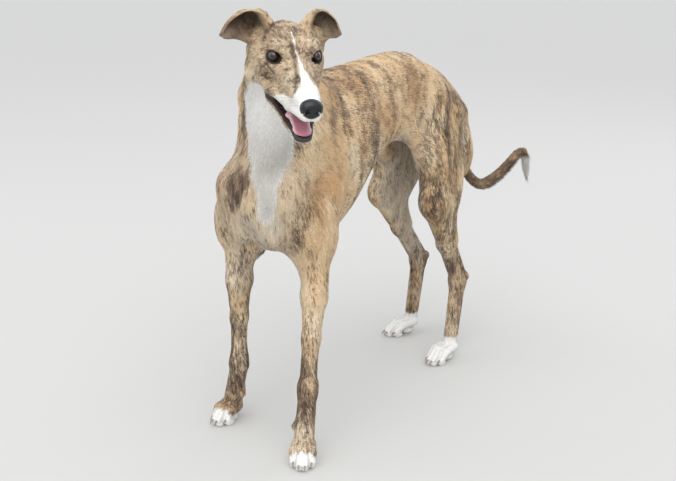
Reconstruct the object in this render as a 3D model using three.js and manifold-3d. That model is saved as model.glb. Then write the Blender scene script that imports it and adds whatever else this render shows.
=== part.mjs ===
import * as THREE from "three";
import { mergeVertices } from "three/addons/utils/BufferGeometryUtils.js";
import Module from "manifold-3d";

// A brindle greyhound standing at ease with its head turned to its left, at life size.
// Millimetres, +Z up. The dog faces -Y, +X is its left side, and the floor is z = 0.
// The flesh is one smooth body, described as the distance to its skin, and it is parted
// into named pieces by plain cuts 0.3 mm wide.

const wasm = await Module();
wasm.setup();

// Driving dimensions
const withers = 700; // height of the shoulder blades' tops
const loinHeight = 722; // top of the arched loin
const brisket = 370; // lowest point of the chest
const chestHalf = 90; // half the chest's width
const seam = 0.3; // width of the cuts between pieces
const earGap = 1; // between the skin of the skull and the root of each ear
const eyeRadius = 12;
const eyeSpread = 31; // from the middle of the face to the middle of each eyeball
const eyeDepth = 10; // from the line of the lids back to the middle of each eyeball
const lidThick = 1.8;
const noseReach = 132; // from the line of the eyes to the tip of the nose
const jawReach = 97; // from the line of the eyes to the opened chin
const toeGap = 11; // from toe to toe across a paw
const clawLength = 13;
const clawRadius = 2.6;
const earThick = 3.2;

// Vectors are plain [x, y, z] lists
const add = (a, b) => [a[0] + b[0], a[1] + b[1], a[2] + b[2]];
const sub = (a, b) => [a[0] - b[0], a[1] - b[1], a[2] - b[2]];
const times = (a, s) => [a[0] * s, a[1] * s, a[2] * s];
const dot = (a, b) => a[0] * b[0] + a[1] * b[1] + a[2] * b[2];
const length = (a) => Math.hypot(a[0], a[1], a[2]);
const unit = (a) => times(a, 1 / length(a));
const mix = (a, b, t) => add(times(a, 1 - t), times(b, t));
const clamp = (v, low, high) => Math.min(Math.max(v, low), high);
const cross = (a, b) => [
  a[1] * b[2] - a[2] * b[1],
  a[2] * b[0] - a[0] * b[2],
  a[0] * b[1] - a[1] * b[0],
];

// A frame has an origin and three axes, and turns its own points and directions into the dog's
function frameAt(origin, x, y, z) {
  return {
    x,
    y,
    z,
    dir: (d) => add(add(times(x, d[0]), times(y, d[1])), times(z, d[2])),
    point: (p) => add(origin, add(add(times(x, p[0]), times(y, p[1])), times(z, p[2]))),
    local: (p) => {
      const d = sub(p, origin);
      return [dot(d, x), dot(d, y), dot(d, z)];
    },
  };
}

const body = frameAt([0, 0, 0], [1, 0, 0], [0, 1, 0], [0, 0, 1]);

function turnedFrame(origin, yaw, pitch, roll) {
  const turn = new THREE.Euler(
    THREE.MathUtils.degToRad(pitch),
    THREE.MathUtils.degToRad(roll),
    THREE.MathUtils.degToRad(yaw),
    "ZXY",
  );
  const axis = (x, y, z) => new THREE.Vector3(x, y, z).applyEuler(turn).toArray();
  return frameAt(origin, axis(1, 0, 0), axis(0, 1, 0), axis(0, 0, 1));
}

// A frame whose z axis runs from one point to another, with y as near straight back as it can be
function limbFrame(from, to) {
  const z = unit(sub(to, from));
  const x = unit(cross([0, 1, 0], z));
  return frameAt(from, x, cross(z, x), z);
}

// The head's origin is midway between the eyes, with -Y of its frame out along the muzzle
const headYaw = 48.2;
const headPitch = 12.9;
const headRoll = 1.1;
const head = turnedFrame([179, -226, 771], headYaw, headPitch, headRoll);

// Joints of the legs, as they stand
const foreLegs = {
  left: {
    side: 1,
    shoulder: [62, -86, 506],
    elbow: [73, -8, 376],
    carpus: [91, -63, 133],
    knuckle: [97, -83, 36],
    toe: [128, -134, 10],
  },
  right: {
    side: -1,
    shoulder: [-60, -84, 508],
    elbow: [-99, -22, 376],
    carpus: [-104, -23, 133],
    knuckle: [-130, -12, 37],
    toe: [-131, -72, 10],
  },
};
const hindLegs = {
  left: {
    side: 1,
    hip: [55, 522, 606],
    stifle: [78, 434, 392],
    hock: [70, 575, 182],
    knuckle: [74, 545, 38],
    toe: [65, 463, 10],
  },
  right: {
    side: -1,
    hip: [-54, 522, 612],
    stifle: [-84, 480, 388],
    hock: [-78, 649, 191],
    knuckle: [-89, 646, 40],
    toe: [-120, 573, 10],
  },
};

// Smooth joining of two distances over a given width
function smoothMin(a, b, width) {
  const h = Math.max(width - Math.abs(a - b), 0) / width;
  return Math.min(a, b) - (h * h * width) / 4;
}

// A tapered round limb from a to b, wider along one direction when asked
function bar(a, b, ra, rb, { blend = 14, side = null, wide = 1, cut = false } = {}) {
  const axis = sub(b, a);
  const square = dot(axis, axis);
  const across = side ? unit(sub(side, times(axis, dot(side, axis) / square))) : null;
  return {
    centre: mix(a, b, 0.5),
    reach: Math.sqrt(square) / 2 + Math.max(ra, rb) * Math.max(wide, 1),
    stretch: Math.max(wide, 1 / wide),
    blend,
    cut,
    distance(p) {
      const d = sub(p, a);
      const t = clamp(dot(d, axis) / square, 0, 1);
      let q = sub(d, times(axis, t));
      if (across) q = sub(q, times(across, dot(q, across) * (1 - 1 / wide)));
      return length(q) - (ra + (rb - ra) * t);
    },
  };
}

// A chain of bars through a list of [point, radius] pairs
function chain(knots, options) {
  return knots.slice(1).map(([point, radius], i) => {
    const [before, radiusBefore] = knots[i];
    return bar(before, point, radiusBefore, radius, options);
  });
}

// An egg with three radii, in a frame's own axes
function lump(centre, radii, { blend = 14, frame = body, cut = false } = {}) {
  const big = Math.max(...radii);
  return {
    centre,
    reach: big,
    stretch: big / Math.min(...radii),
    blend,
    cut,
    distance(p) {
      const d = sub(p, centre);
      const q = [dot(d, frame.x) / radii[0], dot(d, frame.y) / radii[1], dot(d, frame.z) / radii[2]];
      const k = length(q);
      if (k < 1e-6) return -Math.min(...radii);
      return (k * (k - 1)) / length([q[0] / radii[0], q[1] / radii[1], q[2] / radii[2]]);
    },
  };
}

// Values between stations, on a smooth curve through them
function between(stations, at) {
  const last = stations.length - 1;
  let i = 0;
  while (i < last - 1 && stations[i + 1][0] < at) i += 1;
  const [before, from, to, after] = [i - 1, i, i + 1, i + 2].map((n) => stations[clamp(n, 0, last)]);
  const span = to[0] - from[0];
  const t = clamp((at - from[0]) / span, 0, 1);
  return from.map((value, n) => {
    const rise = to[n] - value;
    const slopeIn = from === before ? rise : ((to[n] - before[n]) * span) / (to[0] - before[0]);
    const slopeOut = to === after ? rise : ((after[n] - value) * span) / (after[0] - from[0]);
    const bend = slopeIn * (t - 2 * t * t + t ** 3) + slopeOut * (t ** 3 - t * t);
    return value + rise * (3 * t * t - 2 * t ** 3) + bend;
  });
}

// A body lofted along y through stations [y, top, widest height, bottom, half width]
function loft(stations, frame, { blend = 14, power = 2.2, under = power } = {}) {
  const low = stations[0][0];
  const high = stations[stations.length - 1][0];
  const tops = stations.map((s) => s[1]);
  const bottoms = stations.map((s) => s[3]);
  const widths = stations.map((s) => s[4]);
  const middle = (Math.max(...tops) + Math.min(...bottoms)) / 2;
  const size = [Math.max(...widths), (high - low) / 2, Math.max(...tops) - middle];
  return {
    centre: frame.point([0, (low + high) / 2, middle]),
    reach: length(size),
    stretch: 2,
    blend,
    cut: false,
    distance(p) {
      const [x, y, z] = frame.local(p);
      const [, top, widest, bottom, half] = between(stations, clamp(y, low, high));
      const rise = z - widest;
      const tall = rise > 0 ? top - widest : widest - bottom;
      const n = rise > 0 ? power : under;
      const share = (Math.abs(x / half) ** n + Math.abs(rise / tall) ** n) ** (1 / n);
      const inside = -Math.min(half, tall);
      const around = share < 1e-4 ? inside : Math.max(Math.hypot(x, rise) * (1 - 1 / share), inside);
      const beyond = Math.max(low - y, y - high);
      return beyond > 0 ? Math.hypot(beyond, Math.max(around, 0)) : Math.max(around, beyond);
    },
  };
}

// One distance from many shapes. Shapes too far away to matter are passed over.
function fieldOf(shapes, grow = 0) {
  return (p) => {
    let d = 1e3;
    for (const shape of shapes) {
      const away = length(sub(p, shape.centre)) - shape.reach;
      const near = shape.cut ? shape.blend - d : shape.blend + d;
      if (away > Math.max(near, 0) * shape.stretch) continue;
      if (shape.cut) d = -smoothMin(-d, shape.distance(p), shape.blend);
      else d = smoothMin(d, shape.distance(p), shape.blend);
    }
    return d - grow;
  };
}

// Trunk: deep chest, arched loin, tucked belly and sloping croup
function trunk() {
  const stations = [
    // y, top, widest height, bottom, half width
    [-116, 560, 506, 456, 30],
    [-80, 630, 530, 424, 54],
    [-35, withers - 16, 540, brisket + 22, 70],
    [20, withers - 2, 540, brisket + 2, chestHalf - 6],
    [80, withers - 2, 540, brisket + 4, chestHalf],
    [140, withers, 552, brisket + 36, chestHalf - 1],
    [195, withers + 4, 574, 456, chestHalf - 8],
    [260, withers + 12, 600, 502, 73],
    [320, loinHeight - 3, 614, 527, 65],
    [385, loinHeight - 3, 622, 542, 60],
    [450, 702, 625, 552, 58],
    [510, 684, 618, 556, 54],
    [565, 660, 606, 552, 42],
    [612, 628, 596, 560, 22],
  ];
  const shapes = [loft(stations, body, { power: 2.15, under: 1.8, blend: 30 })];
  shapes.push(bar([0, -110, 484], [0, -60, 414], 19, 14, { blend: 40 })); // breastbone
  shapes.push(bar([0, -60, 413], [0, 80, 386], 12, 12, { blend: 30 })); // keel of the chest
  shapes.push(bar([0, 150, withers - 12], [0, 430, loinHeight - 22], 10, 11, { blend: 26 })); // spine
  for (const s of [-1, 1]) {
    shapes.push(lump([s * 34, -92, 446], [28, 28, 40], { blend: 26 })); // breast muscle
    shapes.push(bar([s * 26, 60, withers - 30], [s * 30, 400, 680], 18, 22, { blend: 30 })); // loin muscle
    shapes.push(lump([s * 38, 445, 666], [18, 30, 20], { blend: 24 })); // point of the hip
    shapes.push(bar([s * 42, 350, 584], [s * 58, 430, 492], 20, 18, { blend: 34 })); // flank fold
  }
  return shapes;
}

// Neck: long, arched at the nape, running from the shoulders up into the back of the skull
function neck() {
  const nape = head.point([0, 88, -10]);
  const side = [0.8, 0.6, 0];
  const turned = head.point([-48, 74, -46]); // the outer side of the bend, below the right ear
  return [
    ...chain(
      [
        [[0, 24, 606], 80],
        [[2, -30, 630], 73],
        [[24, -76, 678], 55],
        [[58, -112, 724], 47],
        [nape, 40],
      ],
      { blend: 34, side, wide: 0.9 },
    ),
    bar([0, -84, 524], head.point([0, 66, -30]), 30, 25, { blend: 44 }), // throat
    bar(head.point([-49, 78, -16]), turned, 10, 11, { blend: 20 }),
    bar(turned, [-2, -94, 678], 12, 24, { blend: 26 }),
  ];
}

// Foreleg: shoulder blade, upper arm, forearm, wrist and pastern
function foreLeg({ side: s, shoulder, elbow, carpus, knuckle }) {
  const down = (t) => mix(elbow, carpus, t);
  const pastern = mix(carpus, knuckle, 0.7);
  const back = [0, 1, 0];
  const across = [1, 0, 0];
  return [
    bar([s * 32, 24, 662], add(shoulder, [-s * 10, 12, 6]), 26, 30, { blend: 44 }),
    bar(shoulder, add(elbow, [-s * 1, -14, 28]), 32, 34, { blend: 34 }),
    bar([s * 26, -34, 404], down(0.16), 15, 15, { blend: 26 }), // fold of the armpit
    bar([s * 60, 50, 560], add(elbow, [-s * 4, 20, 22]), 32, 20, { blend: 34 }),
    lump(add(elbow, [s * 4, -8, 64]), [31, 42, 60], { blend: 24 }), // triceps
    lump(add(elbow, [s * 2, 20, 10]), [13, 13, 20], { blend: 16 }),
    bar(add(elbow, [-s * 2, -4, 16]), down(0.3), 26, 22.5, { blend: 20, side: back, wide: 1.12 }),
    bar(down(0.3), down(0.62), 22.5, 15.5, { blend: 14, side: back, wide: 1.14 }),
    bar(down(0.62), down(0.94), 15.5, 15, { blend: 12, side: back, wide: 1.12 }),
    lump(carpus, [17.5, 17, 22], { blend: 12 }),
    lump(add(carpus, [s * 3, 15, 6]), [8, 9, 11], { blend: 8 }), // bone and pad behind the wrist
    bar(add(pastern, [-s * 11, 2, 4]), add(pastern, [-s * 23, -3, -6]), 6, 4.5, { blend: 5 }), // dewclaw
    bar(add(carpus, [0, 0, -8]), knuckle, 15, 16.5, { blend: 12, side: across, wide: 1.18 }),
  ];
}

// Hind leg: broad thigh, second thigh, tendon to the point of the hock, and rear pastern
function hindLeg({ side: s, hip, stifle, hock, knuckle }) {
  const down = (t) => mix(stifle, hock, t);
  const back = [0, 1, 0];
  const point = add(hock, [0, 36, 0]);
  return [
    bar(add(hip, [-s * 10, -56, 10]), add(stifle, [-s * 6, 10, 14]), 38, 30, { blend: 40 }),
    bar(add(hip, [-s * 14, 12, -20]), add(stifle, [-s * 8, 58, 12]), 42, 33, { blend: 40 }),
    bar([s * 34, 592, 566], add(stifle, [-s * 10, 98, 20]), 34, 24, { blend: 34 }),
    lump(add(hip, [-s * 10, 80, -128]), [33, 42, 64], { blend: 30 }), // back of the thigh
    lump(add(stifle, [0, -6, 4]), [24, 26, 32], { blend: 22 }), // kneecap
    bar(add(stifle, [0, 4, -4]), down(0.5), 26, 18, { blend: 22, side: back, wide: 1.1 }),
    bar(down(0.5), hock, 17.5, 14.5, { blend: 16, side: back, wide: 1.06 }),
    bar(add(stifle, [-s * 2, 56, -2]), add(down(0.48), [0, 24, 4]), 27, 13, { blend: 26 }),
    bar(add(down(0.46), [0, 24, 6]), point, 8, 7, { blend: 14 }), // tendon
    lump(hock, [15.5, 19, 21], { blend: 14 }),
    bar(add(hock, [0, 8, -12]), point, 11, 10, { blend: 12 }), // heel bone
    bar(add(hock, [0, 5, -8]), knuckle, 16.5, 14.5, { blend: 12, side: back, wide: 1.28 }),
  ];
}

// The four toes of a paw, as [sideways, how far short of the longest toe, knuckle lift]
const toeRow = [
  [-1.55, 15, -3],
  [-0.52, 1, 0],
  [0.52, 0, 0],
  [1.55, 14, -3],
];

function pawFrame({ knuckle, toe }) {
  const ahead = unit([toe[0] - knuckle[0], toe[1] - knuckle[1], 0]);
  const back = times(ahead, -1);
  return frameAt([knuckle[0], knuckle[1], 0], cross(back, [0, 0, 1]), back, [0, 0, 1]);
}

// A long arched foot: knuckles, toes and pads. The pads reach just under the floor and are cut flat.
function paw(leg, spread) {
  const frame = pawFrame(leg);
  const reach = Math.hypot(leg.toe[0] - leg.knuckle[0], leg.toe[1] - leg.knuckle[1]);
  const shapes = [
    lump(frame.point([0, -reach * 0.2, 9]), [17, 8 + reach * 0.14, 11], { blend: 8, frame }), // main pad
    lump(frame.point([0, -10, 27]), [21, 20, 13], { blend: 10, frame }),
  ];
  for (const [across, short, lift] of toeRow) {
    const x = across * toeGap * spread;
    const tip = reach - short;
    const root = frame.point([x * 0.72, -2, 30]);
    const knee = frame.point([x * 0.95, -tip * 0.56, 30 + lift]);
    const end = frame.point([x, -tip + 9, 12]);
    shapes.push(bar(root, knee, 10.5, 9, { blend: 6 }));
    shapes.push(bar(knee, end, 9, 7.6, { blend: 5 }));
    shapes.push(lump(frame.point([x, -tip + 14, 6]), [7, 12, 7.5], { blend: 4, frame }));
  }
  return shapes;
}

// Head: long lean skull, brows, cheeks, muzzle, lips, and the lower jaw dropped open
const chin = [0, -jawReach, -106.5];
// The rolled edge before each ear, out from the ear's root
const earFold = [
  [[-8, 60, 22], 8],
  [[-3, 58, 36], 5.5],
  [[4, 60, 48], 3.6],
];
const earRoot = (s) => (s > 0 ? 29 : 36);

function skull() {
  const stations = [
    // y, top, widest height, bottom, half width
    [-noseReach + 6, -31, -44, -57, 13],
    [-112, -22, -43, -59, 17],
    [-88, -16, -39, -58, 20.5],
    [-60, -10, -34, -58, 23.5],
    [-34, -1, -30, -58, 26],
    [-12, 12, -22, -56, 28],
    [8, 23, -14, -54, 33],
    [30, 30, -10, -52, 42],
    [56, 31, -8, -48, 46],
    [80, 25, -8, -46, 42],
    [104, 10, -10, -38, 32],
  ];
  const at = head.point;
  const shapes = [loft(stations, head, { power: 2.3, blend: 10 })];
  shapes.push(bar(at([0, 40, 23]), at([0, 96, 8]), 8, 10, { blend: 16 })); // ridge of the skull
  for (const s of [-1, 1]) {
    shapes.push(bar(at([s * 20, -8, 10]), at([s * 32, 14, 16]), 7, 9, { blend: 12 })); // brow
    shapes.push(bar(at([s * 31.5, -6, -18]), at([s * 42, 36, -14]), 8.5, 9, { blend: 14 })); // cheekbone
    shapes.push(lump(at([s * 36.5, 46, -34]), [16, 30, 28], { blend: 20, frame: head })); // cheek
    shapes.push(bar(at([s * 30, 48, 12]), at([s * 28, 78, 4]), 15, 16, { blend: 16 })); // temple
    shapes.push(lump(at([s * 46, 70, 0]), [16, 18, 27], { blend: 18, frame: head })); // ear base
    const fold = earFold.map(([[x, y, z], radius]) => [at([s * (earRoot(s) + x), y, z]), radius]);
    shapes.push(...chain(fold, { blend: 8 }));
    shapes.push(bar(at([s * 9, -120, -52]), at([s * 20, -70, -54]), 6, 7, { blend: 8 })); // lip
    shapes.push(bar(at([s * 20, -70, -54]), at([s * 31, -16, -52]), 7, 8, { blend: 8 }));
  }
  return shapes;
}

function lowerJaw() {
  const at = head.point;
  const shapes = [];
  const front = add(chin, [0, 9, 7]);
  for (const s of [-1, 1]) {
    const mid = [s * 16, -50, -86];
    const rear = [s * 31, 4, -64];
    shapes.push(bar(at([s * 34, 40, -36]), at(rear), 15, 11, { blend: 14 }));
    shapes.push(bar(at(rear), at(mid), 9, 7.5, { blend: 8, side: head.z, wide: 1.3 }));
    shapes.push(bar(at(mid), at(add(front, [s * 8, 2, 0])), 7, 6, { blend: 7, side: head.z, wide: 1.25 }));
  }
  shapes.push(bar(at(front), at([0, -74, -98]), 7.5, 7, { blend: 8 }));
  shapes.push(bar(at([0, -76, -99]), at([0, 8, -77]), 5.5, 12, { blend: 10, side: head.x, wide: 1.7 }));
  shapes.push(bar(at([0, 10, -62]), at([0, 70, -40]), 22, 30, { blend: 30 })); // under the throat
  return shapes;
}

// The hollow of the open mouth, between the palate and the tongue's bed
function mouthHollow() {
  const at = head.point;
  const options = { blend: 3, cut: true, side: head.x };
  return [
    bar(at([0, 4, -59]), at([0, -60, -76]), 4.5, 10, { ...options, wide: 5.2 }),
    bar(at([0, -60, -76]), at([0, -136, -88]), 10, 22, { ...options, wide: 2.2 }),
  ];
}

// Sockets: a rim of lid round each eye, and the almond opening between the lids
function eyePlace(s) {
  const gaze = unit([s * 0.44, -0.9, 0.12]);
  const centre = [s * eyeSpread, eyeDepth, -1.4];
  const across = unit(cross(gaze, [0, 0, 1]));
  const tilt = unit(add(across, [0, 0, -s * 0.16]));
  const up = cross(tilt, gaze);
  const frame = frameAt(head.point(centre), head.dir(tilt), head.dir(gaze), head.dir(up));
  return { centre: head.point(centre), gaze: head.dir(gaze), frame };
}

function lids(s) {
  const { centre, frame } = eyePlace(s);
  const around = eyeRadius + lidThick;
  return [lump(centre, [around + 0.6, around, around], { blend: 7, frame })];
}

// Nose leather with its nostrils
function noseLeather() {
  const at = head.point;
  const shapes = [
    lump(at([0, -noseReach + 10, -35]), [15.5, 12, 11], { blend: 5, frame: head }),
    lump(at([0, -noseReach + 8, -45]), [12, 9.5, 9], { blend: 6, frame: head }),
  ];
  for (const s of [-1, 1]) {
    const nostril = [s * 7.2, -noseReach - 1, -40];
    shapes.push(lump(at([s * 9.5, -noseReach + 9, -39]), [8, 10.5, 9.5], { blend: 5, frame: head }));
    shapes.push(bar(at(nostril), at([s * 13.5, -noseReach + 6, -45]), 3.2, 1.6, { blend: 2, cut: true }));
  }
  return shapes;
}

function tongueShapes() {
  const at = head.point;
  const across = { side: head.x, blend: 6 };
  return [
    bar(at([0, 0, -66]), at([0, -46, -79]), 6, 5.4, { ...across, wide: 3 }),
    bar(at([0, -46, -79]), at([0, -jawReach + 21, -91]), 5.4, 4.4, { ...across, wide: 3.1 }),
    lump(at([0, -jawReach + 16, -93]), [13.6, 14.5, 4.6], { blend: 5, frame: head }),
  ];
}

// Tail: slim whip that hangs behind the thighs, sweeps back and up, and hooks over at its tip
const tailLine = new THREE.CatmullRomCurve3(
  [
    [0, 590, 622],
    [4, 640, 566],
    [12, 672, 486],
    [22, 696, 414],
    [36, 740, 378],
    [48, 800, 386],
    [56, 858, 410],
    [61, 902, 432],
    [64, 930, 432],
    [66, 942, 406],
    [67, 950, 368],
  ].map((p) => new THREE.Vector3(...p)),
);
const tailSteps = 22;

function tail() {
  const knots = [];
  for (let i = 0; i <= tailSteps; i += 1) {
    const t = i / tailSteps;
    const radius = 19 - 12 * Math.min(t / 0.35, 1) + 4 * Math.sin(Math.PI * clamp((t - 0.2) / 0.75, 0, 1));
    knots.push([tailLine.getPointAt(t).toArray(), t > 0.96 ? 5 : radius]);
  }
  return chain(knots, { blend: 6 });
}

// An ear is a thin leaf held sideways: a cup with a rolled inner rim, and a tip that bends down.
// Its three guide lines are given for a fully spread ear, out from the middle of the head.
const earRims = {
  inner: [[36, 52, 18], [41, 52, 38], [47, 57, 50], [65, 62, 54], [93, 67, 36], [106, 71, 15]],
  middle: [[44, 84, 6], [56, 89, 27], [69, 89, 39], [84, 84, 37], [100, 76, 25], [109, 72, 11]],
  outer: [[44, 66, -14], [58, 60, -3], [72, 59, 5], [86, 63, 8], [100, 68, 6], [106, 71, 8]],
};
const earRows = 10;
const earColumns = 5;

function ear(s, flare, lift) {
  const spread = ([x, y, z]) => {
    const out = x - 36;
    return new THREE.Vector3(...head.point([s * (earRoot(s) + out * flare), y, z + (lift * out) / 70]));
  };
  const lines = Object.fromEntries(
    Object.entries(earRims).map(([name, points]) => [name, new THREE.CatmullRomCurve3(points.map(spread))]),
  );
  const at = (u, v) => {
    const [a, b, c] = [lines.inner, lines.middle, lines.outer].map((line) => line.getPoint(u));
    a.multiplyScalar((v * v - v) / 2);
    return a.addScaledVector(b, 1 - v * v).addScaledVector(c, (v * v + v) / 2);
  };
  const nudge = 0.01;
  const positions = [];
  for (const face of [1, -1]) {
    for (let i = 0; i <= earRows; i += 1) {
      for (let j = 0; j <= earColumns; j += 1) {
        const u = clamp(i / earRows, nudge, 1 - nudge);
        const v = clamp((2 * j) / earColumns - 1, nudge - 1, 1 - nudge);
        const along = at(u + nudge, v).sub(at(u - nudge, v));
        const across = at(u, v + nudge).sub(at(u, v - nudge));
        const thickness = earThick * (0.45 + 0.55 * Math.sqrt(1 - v * v)) * (1.25 - 0.5 * u);
        const normal = along.cross(across).normalize().multiplyScalar((face * thickness) / 2);
        positions.push(...at(i / earRows, (2 * j) / earColumns - 1).add(normal).toArray());
      }
    }
  }
  const front = (i, j) => i * (earColumns + 1) + j;
  const back = (i, j) => front(i, j) + (earRows + 1) * (earColumns + 1);
  const indices = [];
  const quad = (a, b, c, d) => indices.push(a, b, c, a, c, d);
  for (let i = 0; i < earRows; i += 1) {
    for (let j = 0; j < earColumns; j += 1) {
      quad(front(i, j), front(i + 1, j), front(i + 1, j + 1), front(i, j + 1));
      quad(back(i, j), back(i, j + 1), back(i + 1, j + 1), back(i + 1, j));
    }
    const last = earColumns;
    quad(front(i + 1, 0), front(i, 0), back(i, 0), back(i + 1, 0));
    quad(front(i, last), front(i + 1, last), back(i + 1, last), back(i, last));
  }
  for (let j = 0; j < earColumns; j += 1) {
    const last = earRows;
    quad(front(0, j), front(0, j + 1), back(0, j + 1), back(0, j));
    quad(front(last, j + 1), front(last, j), back(last, j), back(last, j + 1));
  }
  return { positions, indices };
}

// The whole flesh, near enough in one list for each region
const headShapes = [...skull(), ...lowerJaw(), ...neck()];
const eyeShapes = [...lids(-1), ...lids(1)];
const trunkShapes = [...trunk(), ...neck()];
for (const leg of Object.values(foreLegs)) trunkShapes.push(...foreLeg(leg));
for (const leg of Object.values(hindLegs)) trunkShapes.push(...hindLeg(leg));
const fleshField = fieldOf([...trunkShapes, ...headShapes, ...mouthHollow(), ...eyeShapes]);
const trunkField = fieldOf([...trunkShapes, ...tail()]);

// Corners, edges and faces of a grid cell. Edge e runs along axis floor(e / 4), and its
// last two bits are its place on the two axes that follow.
const nextAxis = (a) => (a + 1) % 3;
const edgeOf = (axis, second, third) => axis * 4 + second + 2 * third;

// A closed surface where the field is zero, from samples on a box of cells in its own frame.
// A cell holds one point for each sheet of surface that crosses it, so thin places stay sound.
function surface(field, frame, low, high, cell) {
  const count = [0, 1, 2].map((a) => Math.ceil((high[a] - low[a]) / cell[a]) + 1);
  const step = [1, count[0], count[0] * count[1]];
  const place = (i, j, k) => frame.point([low[0] + i * cell[0], low[1] + j * cell[1], low[2] + k * cell[2]]);
  const values = new Float64Array(count[0] * count[1] * count[2]);
  for (let k = 0; k < count[2]; k += 1) {
    for (let j = 0; j < count[1]; j += 1) {
      for (let i = 0; i < count[0]; i += 1) {
        const border = [i, j, k].some((n, a) => n === 0 || n === count[a] - 1);
        const value = border ? Math.min(...cell) / 4 : field(place(i, j, k));
        values[i + j * step[1] + k * step[2]] = Math.abs(value) < 1e-3 ? 1e-3 : value;
      }
    }
  }
  const points = [];
  const corner = new Map();
  const faces = [];

  function crossing(n, axis, second, third) {
    const start = [n[0], n[1], n[2]];
    start[nextAxis(axis)] += second;
    start[nextAxis(nextAxis(axis))] += third;
    const at = start[0] + start[1] * step[1] + start[2] * step[2];
    const from = values[at];
    const to = values[at + step[axis]];
    if (from < 0 === to < 0) return null;
    const end = [...start];
    end[axis] += 1;
    return mix(place(...start), place(...end), from / (from - to));
  }

  function settle(point, border) {
    if (border) return point;
    let p = point;
    const limit = Math.min(...cell) * 0.45;
    for (let round = 0; round < 2; round += 1) {
      const d = field(p);
      const slope = [0, 1, 2].map((a) => {
        const shift = [0, 0, 0];
        shift[a] = 0.4;
        return (field(add(p, shift)) - field(sub(p, shift))) / 0.8;
      });
      const steep = Math.max(dot(slope, slope), 0.2);
      const move = times(slope, -d / steep);
      p = add(p, times(move, Math.min(1, limit / Math.max(length(move), 1e-9))));
    }
    return p;
  }

  for (let k = 0; k < count[2] - 1; k += 1) {
    for (let j = 0; j < count[1] - 1; j += 1) {
      for (let i = 0; i < count[0] - 1; i += 1) {
        const n = [i, j, k];
        const base = i + j * step[1] + k * step[2];
        const crossings = new Map();
        for (let axis = 0; axis < 3; axis += 1) {
          for (const second of [0, 1]) {
            for (const third of [0, 1]) {
              const hit = crossing(n, axis, second, third);
              if (hit) crossings.set(edgeOf(axis, second, third), hit);
            }
          }
        }
        if (!crossings.size) continue;
        const group = new Map([...crossings.keys()].map((e) => [e, e]));
        const root = (e) => (group.get(e) === e ? e : root(group.get(e)));
        const link = (a, b) => group.set(root(a), root(b));
        for (let a = 0; a < 3; a += 1) {
          const b = nextAxis(a);
          const c = nextAxis(b);
          for (const s of [0, 1]) {
            const rim = [edgeOf(b, 0, s), edgeOf(b, 1, s), edgeOf(c, s, 0), edgeOf(c, s, 1)];
            const hits = rim.filter((e) => crossings.has(e));
            if (hits.length === 2) link(hits[0], hits[1]);
            if (hits.length < 4) continue;
            for (const ob of [0, 1]) {
              for (const oc of [0, 1]) {
                const value = values[base + s * step[a] + ob * step[b] + oc * step[c]];
                if (value < 0) link(edgeOf(b, oc, s), edgeOf(c, s, ob));
              }
            }
          }
        }
        const border = n.some((v, a) => v === 0 || v === count[a] - 2);
        const made = new Map();
        for (const [e] of crossings) {
          const r = root(e);
          if (!made.has(r)) {
            const members = [...crossings].filter(([other]) => root(other) === r).map(([, hit]) => hit);
            const sum = members.reduce(add, [0, 0, 0]);
            made.set(r, points.length);
            points.push(settle(times(sum, 1 / members.length), border));
          }
          corner.set(base * 12 + e, made.get(r));
        }
      }
    }
  }

  const ring = [
    [0, 0],
    [1, 0],
    [1, 1],
    [0, 1],
  ];
  for (let k = 0; k < count[2] - 1; k += 1) {
    for (let j = 0; j < count[1] - 1; j += 1) {
      for (let i = 0; i < count[0] - 1; i += 1) {
        const base = i + j * step[1] + k * step[2];
        for (let axis = 0; axis < 3; axis += 1) {
          const b = nextAxis(axis);
          const c = nextAxis(b);
          const from = values[base];
          const to = values[base + step[axis]];
          if (from < 0 === to < 0) continue;
          const quad = ring.map(([db, dc]) => {
            const cellBase = base - db * step[b] - dc * step[c];
            return corner.get(cellBase * 12 + edgeOf(axis, db, dc));
          });
          if (from > 0) quad.reverse();
          const [p, q, r, s] = quad;
          const first = length(sub(points[p], points[r]));
          const second = length(sub(points[q], points[s]));
          if (first <= second) faces.push(p, q, r, p, r, s);
          else faces.push(p, q, s, q, r, s);
        }
      }
    }
  }
  return solidFrom(points.flat(), faces);
}

// Solids and geometries
function solidFrom(positions, indices) {
  const mesh = new wasm.Mesh({
    numProp: 3,
    vertProperties: new Float32Array(positions),
    triVerts: new Uint32Array(indices),
  });
  return new wasm.Manifold(mesh);
}

function solidOf(geometry) {
  const bare = geometry.clone();
  bare.deleteAttribute("normal");
  bare.deleteAttribute("uv");
  const merged = mergeVertices(bare, 1e-4);
  return solidFrom(merged.attributes.position.array, merged.index.array);
}

function geometryOf(solid) {
  const mesh = solid.getMesh();
  const geometry = new THREE.BufferGeometry();
  geometry.setAttribute("position", new THREE.BufferAttribute(mesh.vertProperties, 3));
  geometry.setIndex(new THREE.BufferAttribute(mesh.triVerts, 1));
  geometry.computeVertexNormals();
  return geometry;
}

// The largest closed body of a solid, so that no scrap stays beside it
function whole(solid) {
  return solid.decompose().sort((a, b) => b.volume() - a.volume())[0];
}

// A block from a low to a high corner, in a frame
function block(low, high, frame = body) {
  const size = sub(high, low);
  const middle = frame.point(mix(low, high, 0.5));
  const turn = new THREE.Matrix4().makeBasis(
    new THREE.Vector3(...frame.x),
    new THREE.Vector3(...frame.y),
    new THREE.Vector3(...frame.z),
  );
  const geometry = new THREE.BoxGeometry(...size).applyMatrix4(turn).translate(...middle);
  return solidOf(geometry);
}

const far = 2000;
const half = seam / 2;

// The part of a solid on one side of a plane, drawn back by half a seam
function beyond(solid, point, direction) {
  const normal = unit(direction);
  return solid.trimByPlane(normal, dot(normal, point) + half);
}

const group = new THREE.Group();

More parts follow.
